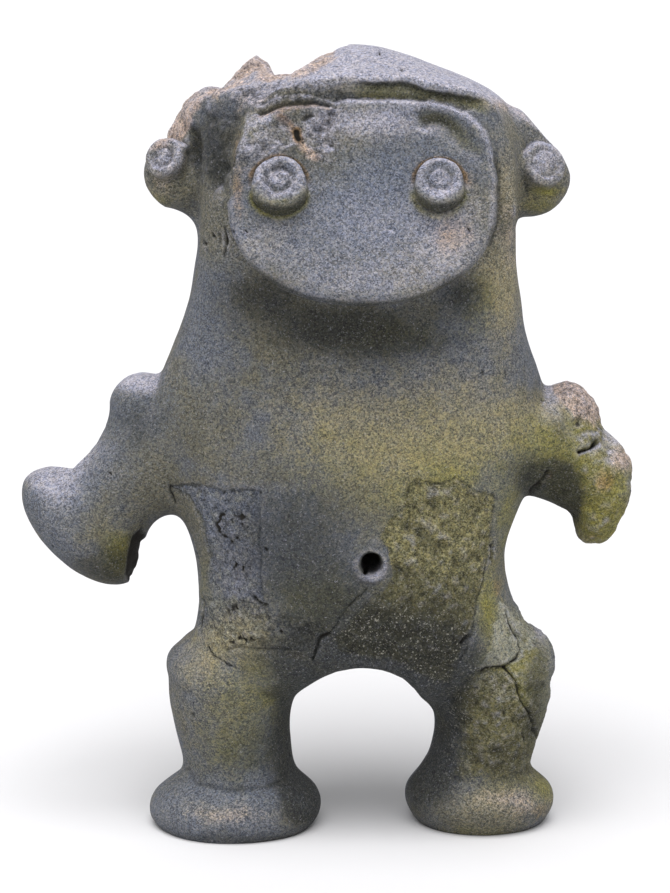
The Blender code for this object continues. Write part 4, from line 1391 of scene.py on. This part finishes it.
# %% Lay the stains, painted shade and painted highlight down
STAINS_SHADE_AND_HIGHLIGHT = {
    "tan": [
        (614, 452, 26, 20, 0.9), (490, 802, 60, 26, 0.5), (590, 520, 30, 40, 0.5),
        (560, 410, 20, 24, 0.5), (235, 640, 50, 16, 0.4), (340, 430, 75, 60, 0.65),
        (450, 400, 70, 50, 0.5), (450, 455, 70, 34, 0.65), (502, 290, 26, 60, 0.9),
        (400, 470, 60, 40, 0.3), (205, 665, 34, 30, 0.6), (215, 812, 50, 18, 0.35),
        (240, 625, 40, 26, 0.5), (520, 420, 40, 30, 0.6), (595, 530, 20, 26, 0.4),
        (450, 235, 30, 36, 0.35), (570, 395, 24, 20, 0.9), (600, 480, 30, 60, 0.6),
        (595, 530, 24, 26, 0.7), (480, 104, 30, 10, 0.5), (506, 180, 14, 60, 0.5),
        (270, 245, 40, 26, 0.25), (160, 185, 22, 20, 0.35), (540, 190, 26, 20, 0.3),
    ],
    # Olive spots: olive stains, and painted shade in olive under the eyes, the ear discs and at the left
    # hand's end.
    "olive": [
        (520, 440, 44, 50, 0.35), (545, 450, 30, 50, 0.2), (490, 620, 20, 60, 0.25),
        (500, 700, 50, 80, 0.3), (510, 520, 16, 50, 0.5), (545, 790, 16, 20, 0.6),
        (470, 835, 60, 10, 0.4), (440, 430, 60, 50, 0.3), (330, 430, 50, 40, 0.2),
        (450, 480, 60, 30, 0.35), (400, 335, 60, 20, 0.5), (600, 490, 40, 60, 1.1),
        (560, 480, 30, 30, 0.8), (488, 600, 10, 40, 0.4), (600, 530, 30, 30, 0.6),
        (440, 520, 60, 50, 0.5), (450, 590, 40, 50, 0.5), (320, 600, 60, 40, 0.6),
        (340, 480, 80, 60, 0.3), (200, 590, 30, 50, 0.35), (520, 640, 24, 50, 0.4),
        (240, 690, 55, 55, 0.36), (235, 755, 50, 34, 0.42), (505, 725, 46, 60, 0.95),
        (120, 555, 24, 26, 1.0), (150, 205, 24, 14, 0.7), (540, 205, 26, 12, 0.6),
        (480, 300, 24, 40, 0.5), (255, 130, 20, 20, 0.5), (535, 665, 24, 40, 0.4),
        (275, 700, 30, 40, 0.3), (278, 206, 20, 8, 0.8), (440, 213, 20, 7, 0.9), (545, 190, 20, 6, 0.9),
        (560, 430, 26, 20, 0.35), (586, 430, 12, 14, 0.8), (595, 412, 8, 20, 0.4),
    ],
    # Dark spots: dark stains, and painted shadow under the chin and painted shade in the arch, by the feet,
    # under the right arm and at the left hand's end.
    "dark": [
        (350, 326, 110, 30, 1.0), (262, 292, 40, 26, 0.8), (462, 292, 32, 26, 0.8),
        (400, 652, 90, 48, 1.2), (350, 658, 80, 24, 1.4), (300, 540, 80, 80, 0.75),
        (302, 794, 24, 30, 1.8), (425, 780, 32, 36, 1.2), (446, 715, 24, 66, 1.1),
        (548, 478, 26, 22, 1.2), (205, 160, 26, 50, 0.4), (240, 838, 90, 9, 0.5), (294, 715, 20, 70, 0.9),
        (380, 662, 90, 22, 0.8), (138, 555, 9, 26, 1.1), (230, 400, 40, 60, 0.2), (140, 425, 40, 44, 0.6),
        (112, 560, 34, 26, 0.8), (340, 600, 60, 40, 0.4), (280, 745, 30, 40, 0.5),
        (520, 475, 24, 26, 0.5), (240, 545, 40, 60, 0.2), (500, 760, 40, 30, 0.45),
        (535, 710, 18, 60, 0.7), (430, 618, 60, 34, 0.15), (566, 500, 18, 36, 1.3),
        (215, 290, 30, 50, 0.2), (560, 430, 12, 20, 0.5), (326, 800, 20, 34, 1.2), (596, 440, 10, 8, 0.5),
        (300, 610, 50, 30, 0.15), (400, 345, 90, 16, 0.4), (540, 660, 14, 30, 0.3),
        (240, 755, 36, 40, 0.45), (190, 450, 20, 60, 0.3), (530, 390, 20, 30, 0.3),
        (370, 380, 40, 30, 0.2),
    ],
    "ochre": [
        (498, 588, 8, 14, 0.5), (481, 648, 10, 9, 0.5), (606, 480, 13, 16, 0.7), (548, 477, 5, 4, 0.8),
        (239, 190, 9, 40, 0.55), (455, 236, 34, 28, 0.5), (300, 438, 60, 40, 0.22),
        (226, 770, 24, 16, 0.3), (205, 665, 18, 18, 0.35), (472, 182, 12, 16, 0.35),
        (232, 140, 6, 30, 0.4), (540, 812, 16, 12, 0.4), (420, 390, 60, 30, 0.15),
        (505, 310, 16, 30, 0.25), (300, 656, 26, 10, 0.3), (590, 540, 14, 8, 0.4),
    ],
    "cool": [
        (365, 215, 130, 85, 0.75), (140, 405, 60, 50, 0.6), (290, 530, 105, 85, 0.42),
        (110, 470, 50, 40, 0.3), (225, 290, 40, 60, 0.2), (230, 800, 60, 30, 0.4),
        (260, 745, 40, 40, 0.5), (360, 370, 90, 40, 0.3), (455, 790, 30, 30, 0.5), (480, 650, 12, 20, 0.6),
    ],
    "fresh": [
        (520, 806, 34, 20, 0.3), (624, 458, 16, 16, 0.8), (540, 110, 26, 22, 0.4),
        (500, 104, 26, 10, 0.35), (225, 815, 60, 16, 0.3), (490, 796, 50, 12, 0.25),
        (160, 180, 20, 26, 0.3), (452, 240, 34, 28, 0.25), (250, 100, 40, 14, 0.35),
        (510, 240, 16, 60, 0.3), (572, 395, 22, 14, 0.8),
    ],
    # Pale spots: pale patches, and painted highlight on the crown's top, the face, the button tops and the
    # outline's edges.
    "pale": [
        (612, 450, 26, 16, 0.15), (500, 84, 50, 16, 0.4), (150, 383, 26, 12, 0.25),
        (54, 500, 26, 34, 0.1), (365, 280, 100, 20, 0.15), (380, 66, 90, 18, 1.0), (300, 84, 44, 10, 0.5),
        (541, 634, 8, 10, 0.6), (608, 522, 6, 4, 0.6), (370, 600, 14, 8, 0.3), (380, 664, 60, 5, 0.4),
        (278, 172, 22, 17, 0.35), (440, 175, 20, 17, 0.25), (168, 160, 20, 22, 0.4),
        (545, 160, 20, 22, 0.45), (365, 225, 120, 70, 0.32), (370, 122, 70, 20, 0.7),
        (262, 140, 26, 30, 0.5), (545, 162, 20, 20, 0.2), (166, 158, 20, 20, 0.35),
        (450, 235, 40, 50, 0.4), (600, 480, 20, 40, 0.2), (508, 170, 10, 50, 0.15),
        (110, 470, 40, 30, 0.15), (555, 140, 18, 20, 0.25), (580, 390, 18, 10, 0.5),
        (240, 575, 26, 50, 0.2), (260, 245, 40, 26, 0.2),
    ],
}
points, facing, toward, _ = measure_skin()
for name, spots in STAINS_SHADE_AND_HIGHLIGHT.items():
    total = np.zeros(len(points))
    for x, y, wide, tall, strength in spots:
        total += strength * spot(x, y, wide, tall)
    mark(name, masks.get(name, 0.0) + total)
print("stains", {name: len(spots) for name, spots in STAINS_SHADE_AND_HIGHLIGHT.items()})

# %% Stain the back, paint highlight on the top and shade on the undersides
behind = 1 - ramp(toward, -0.35, 0.15)
patches = rough(points, 12, 3, 86, where=behind)
BACK_STAINS = [
    ("olive", 0.36, 60, 80, 0.5, -0.3, 1.1),
    ("tan", 0.40, 50, 84, 0.5, -0.4, 1.1),
    ("cool", 0.60, 40, 85, 0.5, -0.4, 0.9),
    ("dark", 0.50, 45, 82, 0.4, 0.1, 1.1),
]
for name, strength, size, seed, patchy, low, high in BACK_STAINS:
    cloud = rough(points, size, 3, seed, where=behind) + patchy * patches
    mark(name, behind * strength * ramp(cloud, low, high))
# What faces up is painted paler as highlight from the light above, more so higher up, and what faces down
# darker as shade.
highlight_by_height = 0.12 + 0.88 * ramp(points[:, 2] / SHARE, 25, 150)
upward = ramp(facing[:, 2], 0.25, 0.95) * highlight_by_height
downward = ramp(-facing[:, 2], 0.2, 0.9)
mark("pale", masks["pale"] + 0.8 * upward)
mark("dark", masks["dark"] + 0.4 * downward)
print("points behind", int((behind > 0.5).sum()), "points that face up", int((upward > 0.5).sum()))

# %% [markdown]
# Hollows are painted darker as shade, and raised edges paler, as wear and as painted highlight. To
# find them, each point is compared with the average of the points round it, taken several times
# over: where the clay lies below that average, it is hollow.

# %% Find hollows and edges
HOLLOW_PASSES = 10
average = points.copy()
for _ in range(HOLLOW_PASSES):
    average = neighbour_average(average, first_end, second_end)
hollowness = ((average - points) * facing).sum(axis=1) / SHARE
mark("hollow", ramp(hollowness, 0.04, 0.45))
mark("edge", ramp(-hollowness, 0.04, 0.45))
print("hollow points", int((masks["hollow"] > 0.5).sum()), "edge points", int((masks["edge"] > 0.5).sum()))

# %% Keep the marks on the points
for name, amount in masks.items():
    layer = body.data.attributes.new(name, "FLOAT", "POINT")
    layer.data.foreach_set("value", np.clip(amount, 0.0, 1.0).astype(np.float32))
print("marks", sorted(masks))

# %% [markdown]
# ## Fewer faces
# A library part has a limit on faces. Decimate thins the faces to a set number, merging the faces
# that lie nearly flat first, so the relief stays. The figure stands on its own feet, so bisect then
# cuts the legs at the floor, throws away what lies below, and fills the cut.

# %% Thin the faces
MOST_TRIANGLES = 194000
body.data.calc_loop_triangles()
triangles = len(body.data.loop_triangles)
if triangles > MOST_TRIANGLES:
    apply_modifier(body, "DECIMATE", ratio=MOST_TRIANGLES / triangles)
print("triangles", triangles, "then", len(body.data.polygons))

# %% Cut the soles level
pick(body)
bpy.ops.object.mode_set(mode="EDIT")
bpy.ops.mesh.select_all(action="SELECT")
bpy.ops.mesh.bisect(plane_co=(0, 0, 0), plane_no=(0, 0, 1), use_fill=True, clear_inner=True, threshold=1e-6)
bpy.ops.object.mode_set(mode="OBJECT")
pick(body)
bpy.ops.object.shade_smooth()
body.data.calc_loop_triangles()
lowest = skin_points()[:, 2].min() * 1000
print("lowest point", round(lowest, 3), "mm; triangles", len(body.data.loop_triangles))
print("marks kept", all(name in body.data.attributes for name in masks))

# %% [markdown]
# ## Shader sums in plain Python
# A material needs much arithmetic, and a node for each sum is hard to read. This small class wraps a
# socket, so that a plain expression such as 1 - mask adds the Math nodes itself.

# %% Sockets that add up
class Value:
    """A socket that takes part in sums."""

    def __init__(self, finish, socket):
        self.finish = finish
        self.socket = socket

    def sum(self, operation, *parts, clamp=False):
        settings = {"operation": operation, "use_clamp": clamp}
        return self.finish.node("ShaderNodeMath", settings, dict(enumerate(parts)))

    def __add__(self, other):
        return self.sum("ADD", self, other)

    def __radd__(self, other):
        return self.sum("ADD", other, self)

    def __sub__(self, other):
        return self.sum("SUBTRACT", self, other)

    def __rsub__(self, other):
        return self.sum("SUBTRACT", other, self)

    def __mul__(self, other):
        return self.sum("MULTIPLY", self, other)

    def __rmul__(self, other):
        return self.sum("MULTIPLY", other, self)

    def clamped(self):
        return self.sum("ADD", self, 0.0, clamp=True)


class Finish:
    """A material whose nodes are made by one method."""

    def __init__(self, name):
        self.material = bpy.data.materials.new(name)
        self.material.use_nodes = True
        self.nodes = self.material.node_tree.nodes
        self.links = self.material.node_tree.links
        self.shader = self.nodes["Principled BSDF"]

    def node(self, kind, settings=None, sockets=None, output=0):
        """Add a node: its settings first, then a value or a link for each socket named."""
        node = self.nodes.new(kind)
        for setting, value in (settings or {}).items():
            if setting == "stops":
                self.set_stops(node.color_ramp.elements, value)
            else:
                setattr(node, setting, value)
        for name, value in (sockets or {}).items():
            self.feed(node.inputs[name], value)
        return Value(self, node.outputs[output])

    def set_stops(self, elements, stops):
        while len(elements) < len(stops):
            elements.new(1.0)
        for element, (place, colour) in zip(elements, stops):
            element.position = place
            element.color = colour

    def feed(self, socket, value):
        if isinstance(value, Value):
            self.links.new(value.socket, socket)
        elif isinstance(value, tuple) and len(value) == 3 and len(socket.default_value) == 4:
            socket.default_value = (*value, 1.0)
        else:
            socket.default_value = value

    def mix(self, share, first, second, blend="MIX"):
        """One colour over another, by a share from 0 to 1."""
        settings = {"data_type": "RGBA", "blend_type": blend, "clamp_factor": True}
        return self.node("ShaderNodeMix", settings, {0: share, 6: first, 7: second}, output=2)

    def noise(self, here, scale, detail, roughness):
        sockets = {"Vector": here, "Scale": scale, "Detail": detail, "Roughness": roughness}
        return self.node("ShaderNodeTexNoise", {}, sockets)

    def band(self, value, low, high):
        """0 below low, 1 above high, and smooth between."""
        settings = {"interpolation_type": "SMOOTHSTEP", "clamp": True}
        sockets = {"Value": value, "From Min": low, "From Max": high, "To Min": 0.0, "To Max": 1.0}
        return self.node("ShaderNodeMapRange", settings, sockets)


# %% [markdown]
# ## Fired and weathered clay
# Low-fired clay is matt. Its grey comes from the smoky fire and the olive from earth and algae. The
# marks on the points say where each colour lies, and noise at the size of sand breaks their edges
# up. The dark, olive and crevice colours also paint shade, and the pale colour also paints
# highlight. Everything is read from Object coordinates, in shares, so the stains and the painted
# light and shade stay where they are when the figure turns.

# %% The clay's colours
# The dark, olive and crevice colours also paint shade, and the pale colour also paints highlight.
BLUE_GREY = (0.124, 0.134, 0.152)
WARM_GREY = (0.138, 0.132, 0.098)
COOL_GREY = (0.122, 0.142, 0.182)
TAN = (0.268, 0.240, 0.150)
OLIVE = (0.205, 0.190, 0.042)
DARK = (0.024, 0.026, 0.023)
PALE = (0.425, 0.420, 0.490)
FRESH = (0.560, 0.445, 0.385)
OCHRE = (0.320, 0.195, 0.080)
SAND = (0.150, 0.140, 0.065)
LIGHT_SAND = (0.280, 0.258, 0.120)
CRUST_WHITE = (0.340, 0.340, 0.270)
CREVICE_SHADE = (0.016, 0.014, 0.011)
GRIT_WHITE = (0.500, 0.480, 0.400)
COOL_TINT = (0.93, 0.98, 1.08)
WARM_TINT = (1.06, 1.01, 0.92)

# %% Sand and stain patterns
clay = Finish("fired_clay")
here = clay.node("ShaderNodeTexCoord", output="Object")
in_shares = clay.node("ShaderNodeVectorMath", {"operation": "SCALE"}, {0: here, "Scale": 1 / SHARE})
broad = clay.noise(in_shares, 0.03, 4.0, 0.6)
blotch = clay.noise(in_shares, 0.16, 4.0, 0.65)
speckle = clay.noise(in_shares, 1.6, 3.0, 0.85)
gritty = clay.noise(in_shares, 0.6, 5.0, 0.8)


def sand(scale):
    """A random value for each grain of sand."""
    sockets = {"Vector": in_shares, "Scale": scale}
    cells = clay.node("ShaderNodeTexVoronoi", {"feature": "F1"}, sockets, "Color")
    return clay.node("ShaderNodeSeparateColor", {}, {"Color": cells}, "Red")


fine_sand = sand(2.7)
coarse_sand = sand(1.3)
grit_sand = sand(2.0)
marks_and_painted_light = {name: clay.node("ShaderNodeAttribute", {"attribute_name": name}, output="Fac") for name in masks}
broken_up = (gritty - 0.5) * 0.5 + (speckle - 0.5) * 0.4 + (blotch - 0.5) * 1.0 + (fine_sand - 0.5) * 0.25


def mark_shown(name, low=0.25, high=0.75):
    """Where a mark shows, once sand and blotches have broken its edge up."""
    return clay.band(marks_and_painted_light[name] + broken_up * 0.6, low, high)


# %% Mix the clay's colour
colour = clay.mix(clay.band(broad + broken_up * 0.2, 0.42, 0.62), BLUE_GREY, WARM_GREY)
colour = clay.mix(mark_shown("cool", 0.05, 0.9) * 0.85, colour, COOL_GREY)
colour = clay.mix(mark_shown("tan", 0.05, 0.95), colour, TAN)
colour = clay.mix(mark_shown("olive", 0.05, 1.0) * 0.92, colour, OLIVE)
colour = clay.mix(mark_shown("fill", 0.3, 0.7), colour, SAND)
colour = clay.mix(mark_shown("sand", 0.2, 0.9) * 0.8, colour, LIGHT_SAND)
# Pale patches, with painted highlight on up-facing and raised places.
colour = clay.mix(clay.band(marks_and_painted_light["pale"] + broken_up * 0.3, 0.05, 1.0) * 0.9, colour, PALE)
colour = clay.mix(mark_shown("fresh", 0.15, 0.8) * 0.85, colour, FRESH)
colour = clay.mix(mark_shown("crust", 0.15, 0.8) * 0.8, colour, CRUST_WHITE)
colour = clay.mix(mark_shown("ochre", 0.2, 0.9) * 0.75, colour, OCHRE)
# Raised edges paler as wear and as painted highlight, dark stains with painted shade, and hollows painted
# darker as shade.
colour = clay.mix(marks_and_painted_light["edge"] * 0.35, colour, PALE)
colour = clay.mix(mark_shown("dark", 0.05, 1.0) * 0.86, colour, DARK)
colour = clay.mix(marks_and_painted_light["hollow"] * 0.6, colour, DARK)

# %% Salt and pepper, with painted shade and highlight on the grit's relief
rough_places = (marks_and_painted_light["fill"] + marks_and_painted_light["pitted"] + marks_and_painted_light["fresh"] * 0.6).clamped()
pepper = fine_sand * 1.0 + coarse_sand * 0.35 + 0.28
# Lumps of grit are painted lighter where the bump raises them and darker where it sinks, as light and
# shade.
lumps_painted_light = 1.0 + (gritty - 0.5) * (rough_places * 4.0 + 0.35)
tint = clay.mix(coarse_sand, COOL_TINT, WARM_TINT)
colour = clay.mix(1.0, colour, tint, "MULTIPLY")
pepper_and_lumps = {0: colour, "Scale": pepper * lumps_painted_light}
colour = clay.node("ShaderNodeVectorMath", {"operation": "SCALE"}, pepper_and_lumps)
# Grains are painted darker where the bump is low and paler where it is high, as shade and highlight.
grain_shade = clay.band(speckle, 0.42, 0.30)
grain_highlight = clay.band(speckle + fine_sand * 0.1, 0.64, 0.78)
grit_places = (marks_and_painted_light["fill"] * (marks_and_painted_light["dark"] + 0.25) + marks_and_painted_light["dark"] * 0.12).clamped()
white_grit = clay.band(grit_sand + fine_sand * 0.25, 1.04, 1.14) * grit_places
# The low spots of the coarse grit are painted near black, as shade.
coarse_pit_shade = clay.band(gritty + (fine_sand - 0.5) * 0.08, 0.42, 0.34) * rough_places
colour = clay.mix(grain_shade * 0.6, colour, DARK)
colour = clay.mix(grain_highlight * 0.5, colour, PALE)
colour = clay.mix(white_grit * 0.6, colour, GRIT_WHITE)
colour = clay.mix(coarse_pit_shade * 0.45, colour, CREVICE_SHADE)
# Cracks, grooves and pits are painted near black, as shade.
colour = clay.mix(clay.band(marks_and_painted_light["crevice"] + broken_up * 0.15, 0.2, 0.7), colour, CREVICE_SHADE)
clay.feed(clay.shader.inputs["Base Color"], colour)
print("clay nodes so far", len(clay.nodes))

# %% [markdown]
# The grit also stands up in relief. It is too fine for the mesh, so a Bump node gives it, deeper on
# the sandy fill and where the skin is pitted.

# %% Grit in relief
height = speckle * 0.9 + fine_sand * 0.12 + gritty * (rough_places * 3.6 + 0.3)
bump = clay.node("ShaderNodeBump", {}, {"Height": height, "Strength": 0.9, "Distance": 0.7 * SHARE})
clay.feed(clay.shader.inputs["Normal"], bump)
clay.feed(clay.shader.inputs["Roughness"], 0.97 - clay.band(speckle, 0.5, 0.7) * 0.12)
clay.shader.inputs["Specular IOR Level"].default_value = 0.35
body.data.materials.clear()
body.data.materials.append(clay.material)
print("clay nodes", len(clay.nodes))

# %% [markdown]
# ## Floor and light
# The photograph shows the figure on plain white under soft light from above. A wide pale floor and
# one broad lamp overhead give that, with a little light from all sides. The floor rises gently far
# away, like a studio's curved backdrop, so that no horizon shows.

# %% Lay the floor
FLOOR_WIDE = 200.0
FLOOR_SQUARES = 100
FLOOR_FLAT = 4.0
FLOOR_RISE = 0.008
bpy.ops.object.select_all(action="DESELECT")
bpy.ops.mesh.primitive_grid_add(x_subdivisions=FLOOR_SQUARES, y_subdivisions=FLOOR_SQUARES, size=FLOOR_WIDE)
floor = bpy.context.object
floor.name = "studio_floor"
for vert in floor.data.vertices:
    outside = max(math.hypot(vert.co.x, vert.co.y) - FLOOR_FLAT, 0.0)
    vert.co.z = FLOOR_RISE * outside ** 2
bpy.ops.object.shade_smooth()
pale_floor = Finish("pale_floor")
pale_floor.shader.inputs["Base Color"].default_value = (0.70, 0.70, 0.70, 1.0)
pale_floor.shader.inputs["Roughness"].default_value = 0.9
pale_floor.shader.inputs["Specular IOR Level"].default_value = 0.1
floor.data.materials.append(pale_floor.material)
floor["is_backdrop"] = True
print("floor rises to", round(max(vert.co.z for vert in floor.data.vertices), 1), "m")

# %% Light from above and from all sides
LAMP_LEAN = math.radians(22)
LAMP_TURN = math.radians(-8)
LAMP_SPREAD = math.radians(46)
LAMP_STRENGTH = 3.5
SKY_STRENGTH = 0.32
bpy.ops.object.select_all(action="DESELECT")
bpy.ops.object.light_add(type="SUN", location=(0.0, 0.0, 2.0), rotation=(LAMP_LEAN, 0.0, LAMP_TURN))
lamp = bpy.context.object
lamp.name = "overhead_lamp"
lamp.data.energy = LAMP_STRENGTH
lamp.data.angle = LAMP_SPREAD
lamp.data.color = (0.99, 0.98, 1.0)

world = bpy.context.scene.world or bpy.data.worlds.new("studio")
bpy.context.scene.world = world
world.use_nodes = True
sky = world.node_tree.nodes["Background"]
sky.inputs["Color"].default_value = (0.97, 0.98, 1.0, 1.0)
sky.inputs["Strength"].default_value = SKY_STRENGTH
bpy.context.scene.view_settings.view_transform = "Standard"
print("lamp", lamp.name, "strength", lamp.data.energy)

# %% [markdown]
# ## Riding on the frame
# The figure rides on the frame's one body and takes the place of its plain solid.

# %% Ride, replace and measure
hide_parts("dogu_figurine")
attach(body, "root")
seen_low, seen_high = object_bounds()
for name, edge, seen_edge in (("low", cad_low, seen_low), ("high", cad_high, seen_high)):
    print(name, [round(c * 1000, 2) for c in edge], [round(c * 1000, 2) for c in seen_edge])
